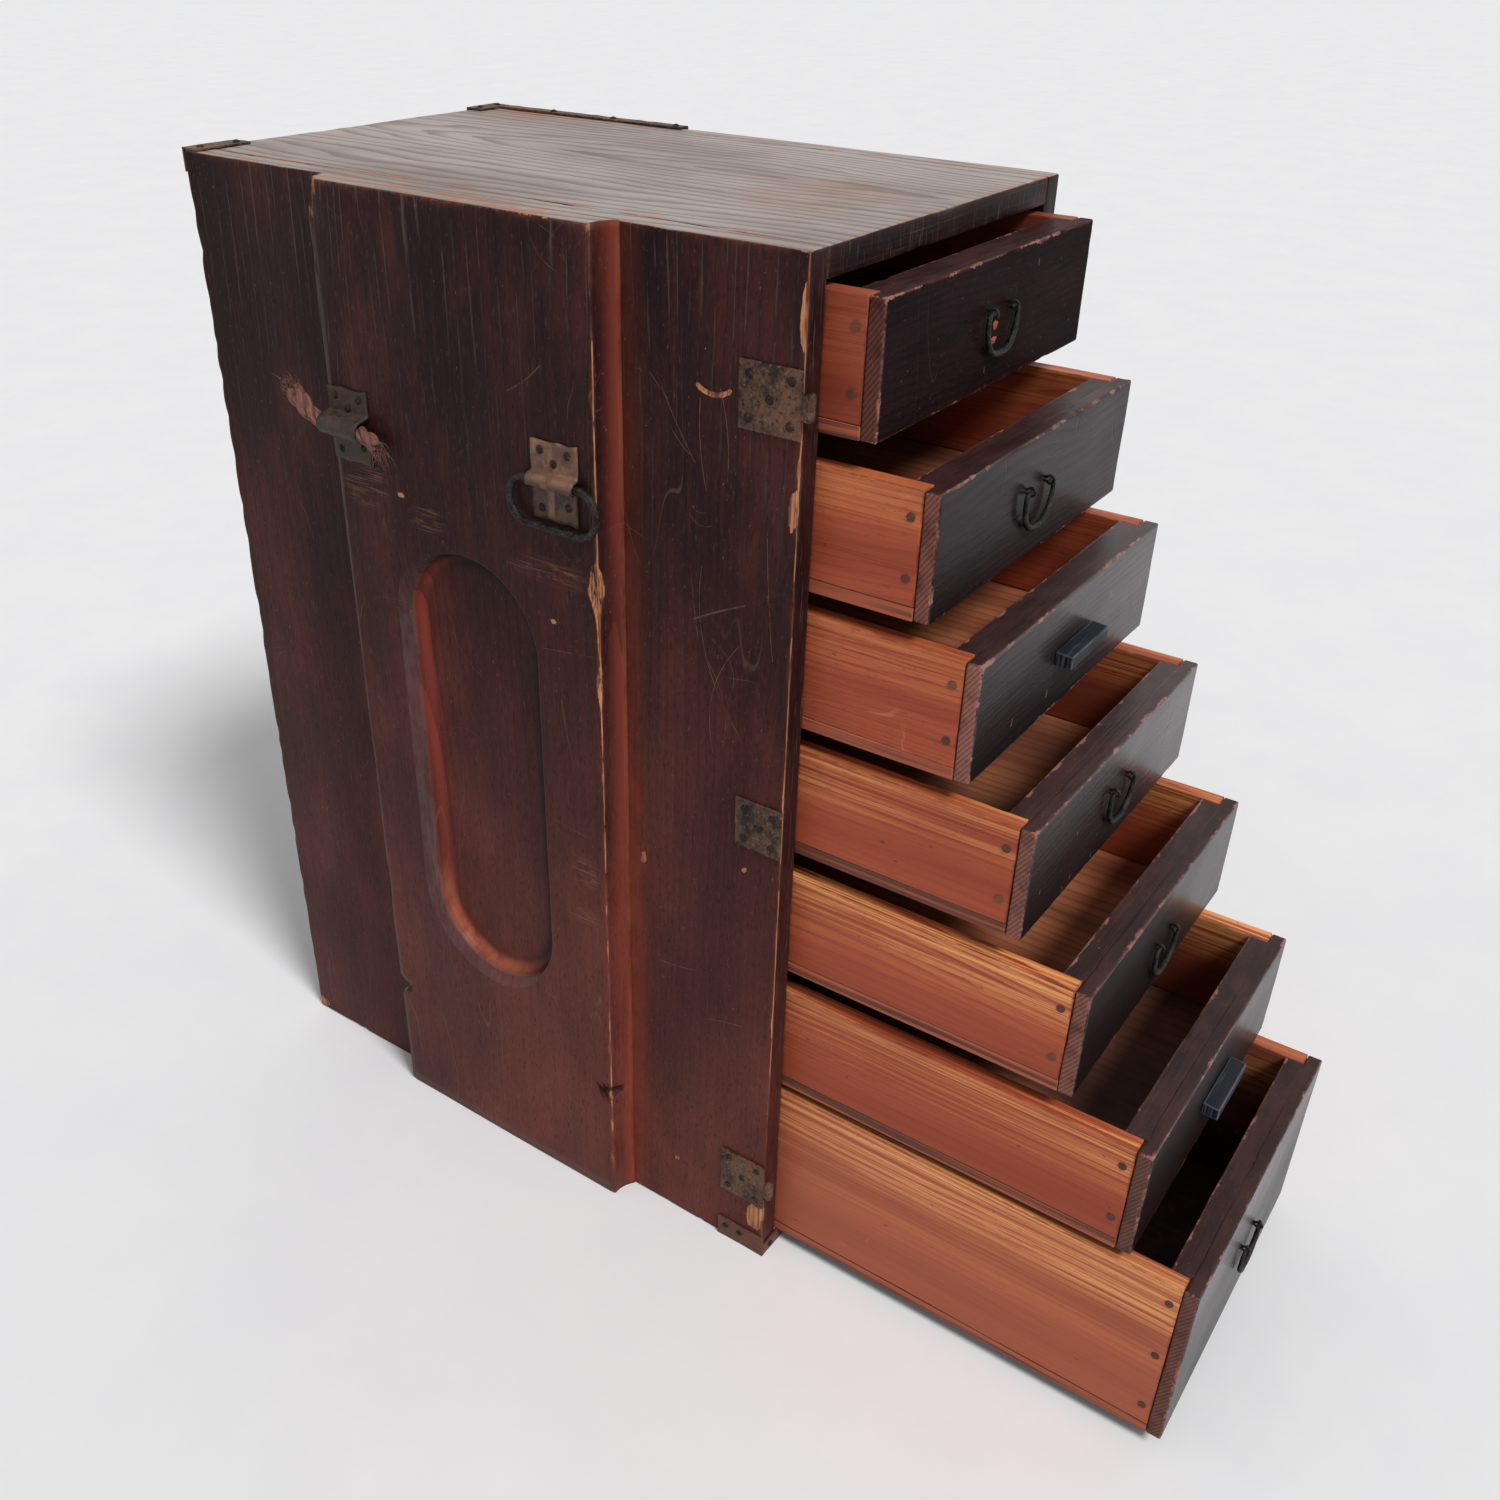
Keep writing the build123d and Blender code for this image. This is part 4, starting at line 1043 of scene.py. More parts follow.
# bare wood on the left board as (y, z, half width, half height)
barePatches = [
    (-0.2035, 0.0300, 0.0085, 0.0140), (-0.1150, 0.2762, 0.0024, 0.0050), (-0.1550, 0.5806, 0.0012, 0.0016),
    (-0.2070, 0.5120, 0.0030, 0.0120), (-0.2080, 0.6020, 0.0026, 0.0160), (0.2040, 0.0060, 0.0060, 0.0050),
    (-0.1420, 0.0460, 0.0014, 0.0026), (-0.1860, 0.2960, 0.0014, 0.0026),
]
gouge = {"y": -0.1600, "z": 0.5735, "radius": 0.0150, "wide": 0.0014, "deep": 0.0006, "reach": 0.85, "fade": 0.25}
sideWear = {
    "step": 0.0045, "ease": 0.0012, "bite": 0.0030, "pitch": np.array([0.010, 0.010, 0.024]), "keep": 0.63,
    "seed": 3, "dent": 0.0004,
}
low, high = boxOf("left_side_board")
fineY = np.arange(-0.178, -0.141, 0.0011)
fineZ = np.concatenate([np.arange(0.550, 0.572, 0.0011), np.arange(0.018, 0.056, 0.002)])
leftShape = wornBox(low, high, sideWear, leftChips, ((), fineY, fineZ))
p = leftShape[0]
outer = ramp(low[0] + 0.003 - p[:, 0], 0.002)
bare = sum(np.exp(-((p[:, 1] - y) / wide) ** 2 - ((p[:, 2] - z) / tall) ** 2) for y, z, wide, tall in barePatches)
# the gouge is an arc: near its circle and within its reach of the lowest point
offY, offZ = p[:, 1] - gouge["y"], p[:, 2] - gouge["z"]
cut = ramp(1.3 - np.abs(np.hypot(offY, offZ) - gouge["radius"]) / gouge["wide"])
cut = cut * ramp(gouge["reach"] - np.abs(np.arctan2(offY, -offZ)), gouge["fade"])
p[:, 0] += gouge["deep"] * cut * outer
leftShape[2]["bare"] = np.maximum(bare, cut * 1.2) * np.maximum(outer, 0.3)
putShape("leftSide", leftShape, "carcass", leftBoardFinish, "left_side_board")

topWear = {"step": 0.005, "ease": 0.0012, "bite": 0.0026, "pitch": 0.014, "keep": 0.62, "seed": 21, "dent": 0.0003}
innerWear = {"step": 0.012, "ease": 0.0008, "bite": 0.0015, "pitch": 0.02, "keep": 0.66, "seed": 31}
for name, node, wear, finish, slot in (
    ("rightSide", "right_side_board", dict(sideWear, seed=8, step=0.007), boardFinish, "dark_lacquer"),
    ("topBoard", "top_board", topWear, topBoardFinish, "weathered_top"),
    ("bottomBoard", "bottom_board", innerWear, boardFinish, "dark_lacquer"),
    ("backBoard", "back_board", dict(innerWear, seed=35), boardFinish, "dark_lacquer"),
):
    putShape(name, wornBox(*boxOf(node), wear), "carcass", finish, node)
print("boards worn")

# Carrying pad: plank with coved sides and a long hollow, a profile carried round the hollow's middle line
pad = {
    "face": -0.147, "seat": -0.130, "low": -0.101, "high": 0.091, "flare": 0.0045, "coveBow": 0.0022, "tall": 0.630,
    "hollowY": -0.005, "hollowZ": 0.2945, "hollowHalf": 0.049, "hollowLong": 0.293, "deep": 0.011, "cove": 0.007,
    "rimRun": 0.0085, "rimTight": 0.0016, "rimDrop": 0.0032, "notchZ": 0.091, "notchHalf": 0.0048,
    "notchDeep": 0.0105, "ease": 0.0009, "chip": 0.0034, "endEase": 0.0012, "dent": 0.0004,
    "across": 48, "up": 170, "thick": 8,
}
# bites out of the front arris as (z, half length, depth), and one out of the back arris at the top
padBites = ((0.440, 0.020, 0.0040), (0.392, 0.016, 0.0036), (0.330, 0.010, 0.0024), (0.240, 0.008, 0.0020))
topBite = {"half": 0.012, "deep": 0.006}


def rimWidth(aimY, aimZ):
    # the rim is wide on the hollow's back and lower side and a tight edge on the others
    share = np.clip(0.5 + 0.9 * (0.8 * aimY - 0.6 * aimZ), 0, 1)
    return pad["rimTight"] + (pad["rimRun"] - pad["rimTight"]) * share * share * (3 - 2 * share)


def hollowDepth(inside, run):
    # depth below the face against distance inside the outline: sloping rim, short wall, quarter-round cove, flat floor
    rim = pad["rimDrop"] * np.clip((inside + run) / run, 0, 1) ** 1.15
    wall = pad["deep"] - pad["cove"] - pad["rimDrop"]
    t = np.clip(inside / pad["cove"], 0, 1)
    curve = np.sqrt(np.maximum(1 - (1 - t) ** 2, 0))
    return rim + np.where(inside > 0, wall * np.clip(inside / 0.0006, 0, 1) + pad["cove"] * curve, 0)


upMarks = np.unique(np.round(np.concatenate([
    np.linspace(0, pad["tall"], pad["up"]), pad["notchZ"] + np.linspace(-0.007, 0.007, 15)]), 6))
acrossMarks = np.linspace(pad["low"], pad["high"], pad["across"])
outline = np.concatenate([
    np.stack([acrossMarks[:-1], np.zeros(pad["across"] - 1)], 1),
    np.stack([np.full(len(upMarks) - 1, pad["high"]), upMarks[:-1]], 1),
    np.stack([acrossMarks[:0:-1], np.full(pad["across"] - 1, pad["tall"])], 1),
    np.stack([np.full(len(upMarks) - 1, pad["low"]), upMarks[:0:-1]], 1),
])
reachZ = pad["hollowLong"] / 2 - pad["hollowHalf"]
middle = np.stack([
    np.full(len(outline), pad["hollowY"]), np.clip(outline[:, 1], pad["hollowZ"] - reachZ, pad["hollowZ"] + reachZ)], 1)
ray = outline - middle
far = np.linalg.norm(ray, axis=1)
aim = ray / far[:, None]
stops = np.array([
    0, 10, 20, 29, 35, 39, 41, 42, 43, 44, 45, 46, 46.8, 47.5, 48.1, 48.6, 49, 49.4, 50, 51, 52, 53, 54, 55, 56,
    56.6, 57, 57.4, 58.5]) / 1000
beyond = stops[-1] + (far[:, None] - stops[-1]) * np.linspace(0, 1, 15)[1:]
distance = np.concatenate([np.broadcast_to(stops, (len(far), len(stops))), beyond], 1)
faceYz = middle[:, None] + aim[:, None] * distance[..., None]
faceYz[:, -1] = outline
padPoints, padFaces = [], []


def addSheet(x, y, z, loop=False):
    # one sheet of the pad's surface as a grid of points
    points = np.stack(np.broadcast_arrays(x, y, z), -1)
    padFaces.append(gridFaces(*points.shape[:2], sum(map(len, padPoints)), loop=loop))
    padPoints.append(points.reshape(-1, 3))


faceX = pad["face"] + hollowDepth(pad["hollowHalf"] - distance, rimWidth(aim[:, :1], aim[:, 1:]))
addSheet(faceX, faceYz[..., 0], faceYz[..., 1], loop=True)
thickMarks = np.linspace(0, 1, pad["thick"])
flareMarks = (pad["flare"] * thickMarks - pad["coveBow"] * 4 * thickMarks * (1 - thickMarks))[:, None]
thickX = (pad["face"] + (pad["seat"] - pad["face"]) * thickMarks)[:, None]
for sideY, sign in ((pad["low"], -1), (pad["high"], 1)):
    # coved side: straight up, bowed inward across the thickness
    addSheet(thickX, sideY + sign * flareMarks, upMarks)
share = (acrossMarks - pad["low"]) / (pad["high"] - pad["low"])
wideY = pad["low"] - flareMarks + (pad["high"] - pad["low"] + 2 * flareMarks) * share
for endZ in (0.0, pad["tall"]):
    addSheet(thickX, wideY, endZ)
addSheet(pad["seat"], wideY[-1][:, None], upMarks)
p, f = weldPoints(np.concatenate(padPoints), np.concatenate(padFaces))
# quads that share a welded corner at the ends of the hollow's middle line become triangles
pinched = (f == np.roll(f, 1, axis=1)).any(axis=1)
corners = [list(dict.fromkeys(face)) for face in f[pinched].tolist()]
tips = [face for face in corners if len(face) == 3]
# arris wear: points near each long arris and end move inward by a share of what the chip's size leaves over
# their distance from it
frontSide = p[:, 1] < pad["hollowY"]
away = np.hypot(p[:, 0] - pad["face"], p[:, 1] - np.where(frontSide, pad["low"], pad["high"]))
chipNoise = 0.6 * softNoise(p, (0.012, 0.012, 0.045), 51) + 0.4 * softNoise(p, (0.004, 0.004, 0.016), 52)
notched = np.exp(-((p[:, 2] - pad["notchZ"]) / pad["notchHalf"]) ** 2)
chipSize = pad["ease"] + pad["chip"] * ramp(chipNoise - 0.62, 0.3) + pad["notchDeep"] * notched
for z, long, deep in padBites:
    bitten = np.where(frontSide, deep * np.exp(-((p[:, 2] - z) / long) ** 2), 0)
    chipSize = chipSize + bitten * np.clip(2.6 * chipNoise - 0.5, 0, 1.6)
topShare = np.exp(-((p[:, 2] - pad["tall"]) / topBite["half"]) ** 2)
chipSize = chipSize + np.where(frontSide, 0, topBite["deep"] * topShare)
bite = np.maximum(chipSize - away, 0)
inward = np.stack([np.ones(len(p)), np.where(frontSide, 1.0, -1.0), np.zeros(len(p))], 1) / math.sqrt(2)
moved = p + inward * (0.62 * bite)[:, None]
ends = np.minimum(p[:, 2], pad["tall"] - p[:, 2])
endBite = np.maximum(pad["endEase"] - np.hypot(ends, p[:, 0] - pad["face"]), 0)
moved = moved + np.stack([endBite, 0 * endBite, np.where(p[:, 2] < 0.3, 1, -1) * endBite], 1) * 0.5
moved[:, 0] += pad["dent"] * softNoise(p, 0.03, 57) * (p[:, 0] < pad["seat"] - 0.004)
# marks: the hollow's wall, rim and foot, and the coved sides; the red of the coves and of the wall toward the light,
# and the tan of the foot, carry painted light
nearestZ = np.clip(p[:, 2], pad["hollowZ"] - reachZ, pad["hollowZ"] + reachZ)
offY, offZ = p[:, 1] - pad["hollowY"], p[:, 2] - nearestZ
insideBy = pad["hollowHalf"] - np.hypot(offY, offZ)
offMiddle = np.maximum(pad["hollowHalf"] - insideBy, 1e-6)
rimHere = rimWidth(offY / offMiddle, offZ / offMiddle)
inHollow = (insideBy > -rimHere) & (p[:, 0] < pad["face"] + pad["deep"] + 1e-6)
seatShare = ramp(p[:, 0] - pad["face"], pad["seat"] - pad["face"])
wallShare = ramp(insideBy + 0.0005, 0.001) * ramp(pad["cove"] * 1.15 - insideBy, pad["cove"] * 0.7)
openSide = (rimHere - pad["rimTight"]) / (pad["rimRun"] - pad["rimTight"])
# painted light: red share on the coved sides, growing toward the seat
coveLitShare = 0.85 * ramp(seatShare - 0.25, 0.6) ** 1.4
# painted light with rubbing: red on the hollow's wall toward the light, spreading a little onto the floor
glowTail = 0.4 * np.exp(-np.maximum(insideBy - pad["cove"], 0) / 0.007) * (insideBy > 0)
hollowWearAndLight = np.maximum(wallShare, glowTail) * (0.04 + 0.96 * openSide)
lowRim = np.clip((0.44 - p[:, 2]) / 0.05, 0.25, 1)
# worn tan with painted light at the lit, upward-facing foot of the hollow
footWearAndLight = wallShare * openSide * ramp(0.215 - p[:, 2], 0.03)
# shade: the hollow's tight side with the floor under it, and the cut of each notch
tightSide = ramp(insideBy + 0.0018, 0.0006) * ramp(0.013 - insideBy, 0.006) * (1 - openSide) ** 1.5
notchShade = ramp(1.6 * notched) * (bite > 0.0006) * np.clip((away - 0.0006) / 0.002, 0.2, 1)
padMarks = {
    "edge": np.minimum(away, np.maximum(ends, 0.0005)) * 1000,
    "worn": np.linalg.norm(moved - p, axis=1) * 1000 * (1 - notched),
    "carved": np.where(inHollow, hollowWearAndLight, np.where(insideBy > 0, 0, coveLitShare)),
    "rim": np.where(inHollow & (insideBy < 0.0002), ramp(rimHere - 0.003, 0.004) * lowRim, 0.0),
    "shade": np.maximum(np.where(inHollow, tightSide, 0), notchShade),
    "seam": np.where(inHollow, footWearAndLight, ramp(seatShare - 0.86, 0.12)),
}
putPiece("carryingPad", moved, f[~pinched], "carcass", padBoardFinish, ["back_pad_board"], padMarks, tips,
         outward=True)
print("pad shaped")

# Drawers: front with lip and tongue, two sides, back and bottom
frontWear = {
    "step": 0.0034, "ease": 0.0013, "bite": 0.0026, "pitch": 0.010, "keep": 0.64, "seed": 60, "dent": 0.0003}
sideBoardWear = {
    "step": 0.005, "ease": 0.0008, "bite": 0.0018, "pitch": 0.011, "keep": 0.66, "seed": 170, "dent": 0.0003}
plainWear = {"step": 0.010, "ease": 0.0006, "bite": 0.0010, "pitch": 0.012, "keep": 0.66, "seed": 300}
drawerJoint = {"lip": 0.009, "side": 0.011, "floor": 0.007, "overlap": 0.003, "gap": 0.0002}
# each drawer's share of painted sunlight and shade on its sides, of painted shade on its sides' inner faces and
# darkening of its bottom, of painted sheen on its front, its pale ends, and where the painted sheen begins
drawerLooks = {
    "sun": [0.15, 0.35, 0.3, 0.75, 0.9, 0.88, 1.0],
    "stain": [0.2, 0.2, 0.0, 0.4, 0.0, 0.75, 0.95],
    "polish": [0.0, 0.16, 0.46, 0.36, 0.2, 0.24, 0.3],
    "pale": [0.42, 0.75, 1.0, 0.8, 0.8, 0.45, 0.5],
    "from": [0.5, 0.15, 0.5, 0.5, 0.5, 0.5, 0.5],
}
blockDrawers, bailDrawers = (3, 6), (1, 2, 4, 5, 7)
for number in range(1, 8):
    tag = "drawer_%d" % number
    own = {key: values[number - 1] for key, values in drawerLooks.items()}
    low, high = boxOf(tag + "_front")
    side, lipBack = drawerJoint["side"], low[1] + drawerJoint["lip"]
    tongueLow = (low[0] + side, low[1] + drawerJoint["overlap"], low[2] + drawerJoint["floor"])
    tongueHigh = (high[0] - side, high[1], high[2] - drawerJoint["gap"])
    lip = wornBox(low, (high[0], lipBack, high[2]), dict(frontWear, seed=60 + 10 * number))
    tongueWear = dict(frontWear, seed=65 + 10 * number, ease=0.0006, step=0.006)
    shape = joinShapes([lip, wornBox(tongueLow, tongueHigh, tongueWear)])
    p, _, marks = shape
    # marks are taken from the whole board, so the line where lip and tongue meet carries none
    marks["edge"] = np.sort(np.minimum(p - low, high - p), axis=1)[:, 1] * 1000
    marks["worn"] = marks["worn"] * (np.abs(p[:, 1] - lipBack) > 0.003)
    pullLow, pullHigh = boxOf(tag + ("_block_pull" if number in blockDrawers else "_bail"))
    pullX, _, pullZ = (pullLow + pullHigh) / 2
    dull = np.exp(-((p[:, 0] - pullX + 0.006) / 0.034) ** 2 - ((p[:, 2] - pullZ - 0.004) / 0.013) ** 2)
    # painted sheen: a grey reflection tint that grows to the right and upward, weaker round the handled pull
    shareX, _, shareZ = ((p - low) / (high - low)).T
    marks["polish"] = own["polish"] * ramp(shareX + 0.8 * shareZ - own["from"]) * (1 - 0.85 * dull)
    marks["pale"] = np.full(len(p), own["pale"])
    putShape(tag + "Front", shape, tag, drawerFrontFinishes[number - 1], tag + "_front")
    low, high = boxOf(tag + "_sides")
    sides = []
    for index, (x0, x1) in enumerate(((low[0], low[0] + side), (high[0] - side, high[0]))):
        wear = dict(sideBoardWear, seed=170 + 10 * number + index)
        shape = wornBox((x0, low[1], low[2]), (x1, high[1], high[2]), wear)
        p, _, marks = shape
        marks["lift"] = (p[:, 2] - low[2]) / (high[2] - low[2])
        marks["sun"] = np.full(len(p), own["sun"])
        innerFace = np.abs(p[:, 0] - (x1, x0)[index]) < 0.001
        # painted shade on the inner face, stronger lower down
        marks["stain"] = own["stain"] * innerFace * ramp(1.3 - marks["lift"])
        sides.append(shape)
    putShape(tag + "Sides", joinShapes(sides), tag, drawerSideFinish, tag + "_sides")
    shape = wornBox(*boxOf(tag + "_back"), dict(plainWear, seed=300 + number))
    putShape(tag + "Back", shape, tag, insideFinish, tag + "_back")
    shape = wornBox(*boxOf(tag + "_bottom"), dict(plainWear, seed=320 + number))
    shape[2]["stain"] = np.full(len(shape[0]), own["stain"])
    putShape(tag + "Bottom", shape, tag, bottomFinish, tag + "_bottom")
print("drawers built")

# Bails: wire hanging from two posts, thick at the bottom of its bow and thin where it turns into the eyes
bail = {
    "stub": 0.0087, "far": 0.0165, "turn": 0.0034, "drop": 0.0215, "bow": 0.8, "thin": 0.00085, "thick": 0.0018,
    "stubRise": 0.0010, "sides": 14, "uneven": 0.0003,
}
post = {
    "aside": 0.0115, "stand": 0.0030, "eye": 0.0021, "mouth": 0.55, "radius": 0.00075, "clench": 0.007,
    "behind": 0.0208, "sides": 10, "rootIn": 0.001, "rootUp": 0.0009, "bends": 22, "prongFrom": 0.018,
}


def bailLine(values):
    # half the bow is (far sin^e t, -turn - deep cos^e t), then a quarter turn and a straight stub;
    # the other half mirrors it, and the line stands in the plane y = 0
    far, turn, bow = values["far"], values["turn"], values["bow"]
    t = np.linspace(0, np.pi / 2, 24)
    arch = np.stack([far * np.sin(t) ** bow, -turn - (values["drop"] - turn) * np.cos(t) ** bow], 1)
    a = np.linspace(0, np.pi / 2, 8)[1:]
    corner = np.stack([far - turn * (1 - np.cos(a)), -turn * (1 - np.sin(a))], 1)
    stub = np.stack([np.linspace(far - turn, values["stub"], 5)[1:], np.zeros(4)], 1)
    half = np.concatenate([arch, corner, stub])
    return np.insert(np.concatenate([half[:0:-1] * (-1, 1), half]), 1, 0.0, axis=1)


line = bailLine(bail)
lineRun = runLength(line)
bailThick = bail["thin"] + (bail["thick"] - bail["thin"]) * np.sin(np.pi * lineRun / lineRun[-1]) ** 1.1
for number in bailDrawers:
    tag = "drawer_%d" % number
    low, high = boxOf(tag + "_bail")
    eye = np.array([(low[0] + high[0]) / 2, (low[1] + high[1]) / 2, high[2] - bail["stubRise"]])
    p, f, caps = tubeAlong(eye + line, bailThick, bail["sides"], (0, 1.0, 0))
    p = p + (softNoise(p, 0.004, 400 + number) - 0.5)[:, None] * bail["uneven"]
    putTubes(tag + "Bail", [(p, f, caps)], "bail_%d" % number, wireIron, [tag + "_bail"])
    # each post is a wire bent round the bail's stub, both ends driven into the face,
    # with a prong bent up behind the front
    face = boxOf(tag + "_front")[0][1]
    root, behind, z = face + post["rootIn"], face + post["behind"], eye[2]
    tubes = []
    for x in (eye[0] - post["aside"], eye[0] + post["aside"]):
        a = np.linspace(post["mouth"], 2 * np.pi - post["mouth"], post["bends"])
        bendY, bendZ = face - post["stand"] + post["eye"] * np.cos(a), z + post["eye"] * np.sin(a)
        bend = np.stack(np.broadcast_arrays(x, bendY, bendZ), 1)
        loop = np.concatenate([[[x, root, z + post["rootUp"]]], bend, [[x, root, z - post["rootUp"]]]])
        prong = np.array([
            [x, face + post["prongFrom"], z], [x, behind, z],
            [x, behind + 0.0006, z + 0.0012], [x, behind + 0.0004, z + post["clench"]]])
        tubes.append(tubeAlong(loop, post["radius"], post["sides"]))
        tubes.append(tubeAlong(prong, post["radius"] * np.array([1, 1, 0.9, 0.5]), post["sides"]))
    putTubes(tag + "PullPosts", tubes, tag, wireIron, [tag + "_pull_posts"])

# Block pulls: a bar whose top slopes a little to the front
blockSlope = 0.001
blockWear = {
    "step": 0.0022, "ease": 0.0007, "bite": 0.0012, "pitch": 0.006, "keep": 0.6, "seed": 500, "dent": 0.0003,
    "dentPitch": 0.008,
}
for number in blockDrawers:
    tag = "drawer_%d" % number
    low, high = boxOf(tag + "_block_pull")
    shape = wornBox(low, high, dict(blockWear, seed=500 + number))
    p = shape[0]
    lean = ramp(high[1] - p[:, 1], high[1] - low[1])
    p[:, 2] -= blockSlope * lean * ramp(p[:, 2] - low[2], high[2] - low[2])
    putShape(tag + "BlockPull", shape, tag, blockPullFinish, tag + "_block_pull")

# Irons: thin forged plates with uneven edges; two leaves end in a knuckle
plateWear = {
    "step": 0.002, "ease": 0.0004, "bite": 0.0009, "pitch": 0.006, "keep": 0.55, "seed": 540, "dent": 0.0004,
    "dentPitch": 0.007,
}
ironThick, ironLap = 0.0016, 0.0004
# leaves as (width, height, middle's z)
leaves = [(0.035, 0.033, 0.5625), (0.030, 0.031, 0.3285), (0.033, 0.036, 0.061)]
knuckle = {"radius": 0.003, "long": 0.013, "sides": 16, "rings": 14, "out": 0.0015, "in": 0.001, "uneven": 0.0005}
outX = leftX - ironThick
shapes, leafCaps = [], []
for index, (wide, tall, z) in enumerate(leaves):
    plate = (outX, frontY, z - tall / 2), (leftX, frontY + wide, z + tall / 2)
    shapes.append(wornBox(*plate, dict(plateWear, seed=540 + index)))
for index in (0, 2):
    z, half = leaves[index][2], knuckle["long"] / 2
    plate = (outX, frontY - knuckle["out"], z - half), (leftX, frontY + knuckle["in"], z + half)
    shapes.append(wornBox(*plate, dict(plateWear, seed=550 + index)))
    along = np.linspace(-1, 1, knuckle["rings"])
    path = np.stack(np.broadcast_arrays(leftX, frontY - knuckle["radius"], z + along * half), 1)
    p, f, caps = tubeAlong(path, knuckle["radius"] * (1 - 0.25 * np.abs(along) ** 8), knuckle["sides"])
    p = p + (softNoise(p, 0.003, 560 + index) - 0.7)[:, None] * knuckle["uneven"] * np.array([1, 1, 0])
    start = sum(len(shape[0]) for shape in shapes)
    leafCaps += [[start + v for v in cap] for cap in caps]
    shapes.append((p, f, {"edge": np.full(len(p), 3.0), "worn": np.zeros(len(p))}))
points, faces, marks = joinShapes(shapes)
putPiece("frontEdgeIrons", points, faces, "carcass", plateIron, ["front_edge_irons"], marks, leafCaps, True)
# foot iron's side and front, the back irons' flats, the long strip and the right arm
footSide, footFront = (0.034, 0.016), (0.032, 0.0095)
crownBack, crownStrip, crownArm = (0.039, 0.012), (0.165, 0.008), 0.027
rightX, farX, farY, overZ, lapZ = -leftX, -leftX + ironThick, backY + ironThick, topZ + ironThick, topZ + ironLap
cornerBoxes = [
    ((outX, frontY - ironThick, 0), (leftX, frontY + footSide[0], footSide[1])),
    ((leftX - ironLap, frontY - ironThick, 0), (leftX + footFront[0], frontY, footFront[1])),
    ((leftX, backY - crownBack[1], topZ), (leftX + crownBack[0], farY, overZ)),
    ((leftX, backY, topZ - crownBack[1]), (leftX + crownBack[0], farY, lapZ)),
    ((rightX - crownStrip[1], backY - crownStrip[0], topZ), (farX, farY, overZ)),
    ((rightX, backY - crownStrip[0], topZ - crownStrip[1]), (farX, farY, lapZ)),
    ((rightX - crownArm, backY - crownBack[1], topZ), (farX, farY, overZ)),
    ((rightX - crownArm, backY, topZ - crownBack[1]), (farX, farY, lapZ)),
]
shape = joinShapes([
    wornBox(*plate, dict(plateWear, seed=570 + index, step=0.003)) for index, plate in enumerate(cornerBoxes)])
putShape("cornerIrons", shape, "carcass", plateIron, "corner_irons")

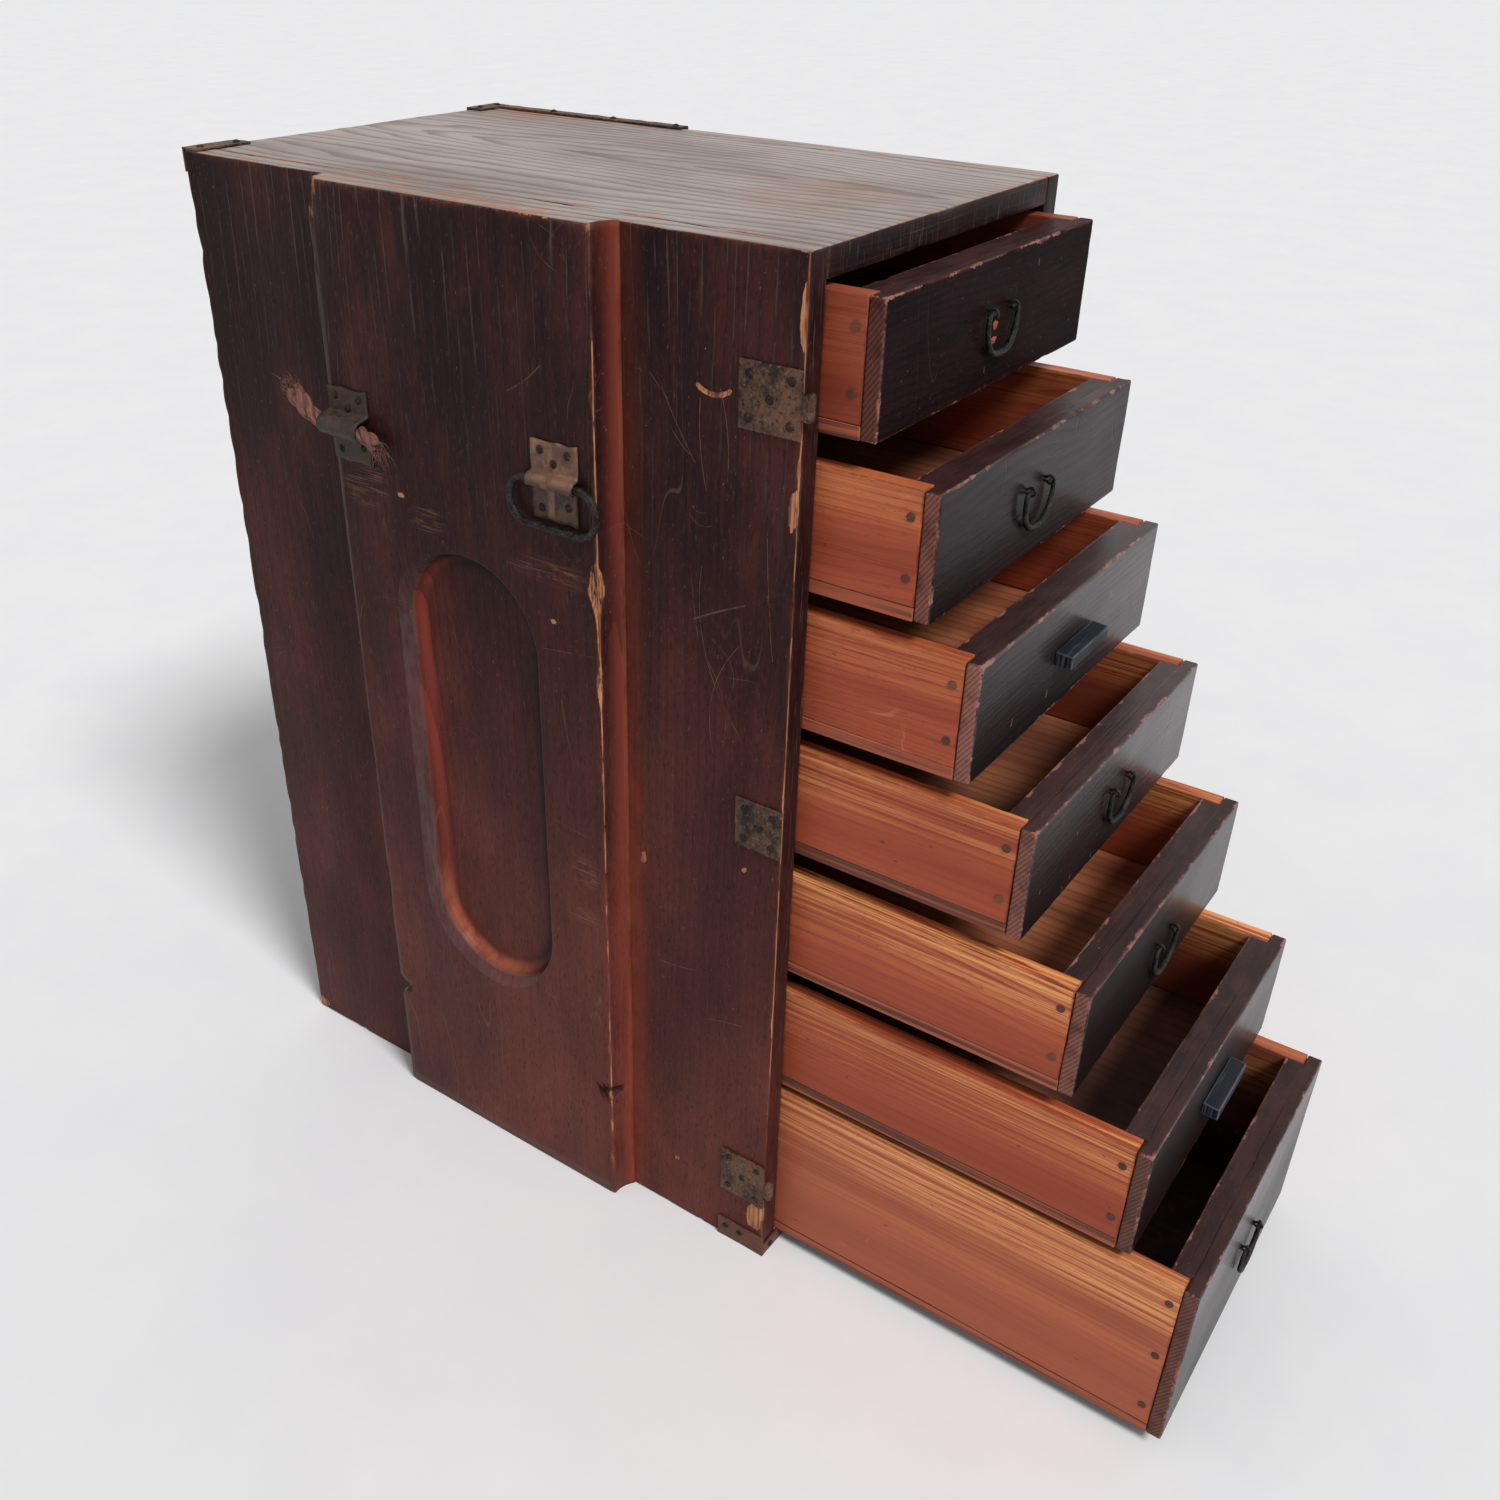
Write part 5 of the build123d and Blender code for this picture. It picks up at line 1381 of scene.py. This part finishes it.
# Strap saddles: one sheet each, flat above and below, rolled out over the ring or the rope
saddle = {
    "face": -0.147, "thick": 0.0016, "wide": 0.030, "top": 0.5225, "foot": 0.4805, "eyeZ": 0.502,
    "eyes": ((-0.075, 0.0023), (0.075, 0.0047)), "across": 16, "flat": 8, "bend": 0.0016, "dent": 0.0004,
}
tubes = []
for index, (y, bore) in enumerate(saddle["eyes"]):
    # outline of the sheet seen from its end: outer line down, inner line back up, as (height off the pad, z)
    thick, roll = saddle["thick"], bore + saddle["thick"]
    topRise, footRise = saddle["top"] - saddle["eyeZ"], saddle["foot"] - saddle["eyeZ"]
    a = np.linspace(np.pi / 2, -np.pi / 2, 17)
    arc = np.stack([np.cos(a), np.sin(a)], 1)
    flat = np.linspace(topRise, roll + saddle["bend"], saddle["flat"])
    upper = np.concatenate([
        np.stack(np.broadcast_arrays(thick, flat), 1),
        [[thick + 0.0003, roll + 0.0008], [thick + 0.5 * bore, roll + 0.0002]]])
    outer = np.concatenate([upper, (roll, 0) + roll * arc, (upper * (1, -1))[::-1]])
    outer[-saddle["flat"]:, 1] = np.linspace(-roll - saddle["bend"], footRise, saddle["flat"])
    innerTop = np.array([[0, topRise], [0, roll - 0.0002], [0.45 * roll, bore + 0.0003]])
    inner = np.concatenate([innerTop, (roll, 0) + bore * arc, (innerTop * (1, -1))[::-1]])
    inner[-1, 1] = footRise
    ring = np.concatenate([outer, inner[::-1]])
    ys = y + np.linspace(-0.5, 0.5, saddle["across"]) * saddle["wide"]
    sheet = np.broadcast_arrays(saddle["face"] - ring[:, 0], ys[:, None], saddle["eyeZ"] + ring[:, 1])
    p = np.stack(sheet, -1).reshape(-1, 3)
    uneven = softNoise(p * (0, 1, 1), 0.007, 590 + index) - 0.5
    p[:, 1] += (p[:, 1] - y) * uneven * 0.12
    p[:, 2] += (p[:, 2] - saddle["eyeZ"]) * (softNoise(p * (0, 1, 0), 0.006, 595 + index) - 0.5) * 0.06
    p[:, 0] += saddle["dent"] * softNoise(p, 0.006, 598 + index) * (p[:, 0] < saddle["face"] - 0.001)
    ids, f = ringFaces(len(ys), len(ring))
    tubes.append((p, f, [ids[0].tolist(), ids[-1].tolist()]))
putTubes("strapSaddles", tubes, "carcass", saddleIron, ["strap_saddles"])

# Two wooden plugs in old holes of the first drawer's front, as (x, z) and (half width, half height)
plug = {
    "places": ((0.0004, 0.5776), (0.0001, 0.5702)), "sizes": ((0.0027, 0.0024), (0.0033, 0.0020)),
    "lift": 0.0001, "proud": 0.0005, "rings": 6, "sides": 20, "waves": (0.14, 0.08), "phase": 900,
}
face = boxOf("drawer_1_front")[0][1]
tubes = []
for (x, z), (wide, tall) in zip(plug["places"], plug["sizes"]):
    # a low dome: height falls with the square of the share of its radius, outline wavy
    around = np.linspace(0, 2 * np.pi, plug["sides"], endpoint=False)
    share, angle = np.meshgrid(np.linspace(1, 0.12, plug["rings"]), around, indexing="ij")
    slow, quick = plug["waves"]
    wave = share * (1 + slow * np.sin(3 * angle + x * plug["phase"]) + quick * np.sin(5 * angle))
    domeY = face - plug["lift"] - plug["proud"] * (1 - share ** 2)
    p = np.stack([x + wide * wave * np.cos(angle), domeY, z + tall * wave * np.sin(angle)], -1).reshape(-1, 3)
    ids, f = ringFaces(plug["rings"], plug["sides"])
    tubes.append((p, f, [ids[-1].tolist(), ids[0, ::-1].tolist()]))
putTubes("drawer_1Plugs", tubes, "drawer_1", plugFinish)
print("pulls, irons and plugs made")

# Runners, pegs, nails and the ring stay as built and take their finishes
finishFor = {"drawer_runners": insideFinish, "iron_nails": nailIron, "strap_ring": wireIron}
finishFor.update({name: pegFinish for name in nodes if name.endswith("_pegs")})
for name, finish in finishFor.items():
    nodes[name].data.materials.clear()
    nodes[name].data.materials.append(finish)
print("carried-over nodes finished:", len(finishFor))
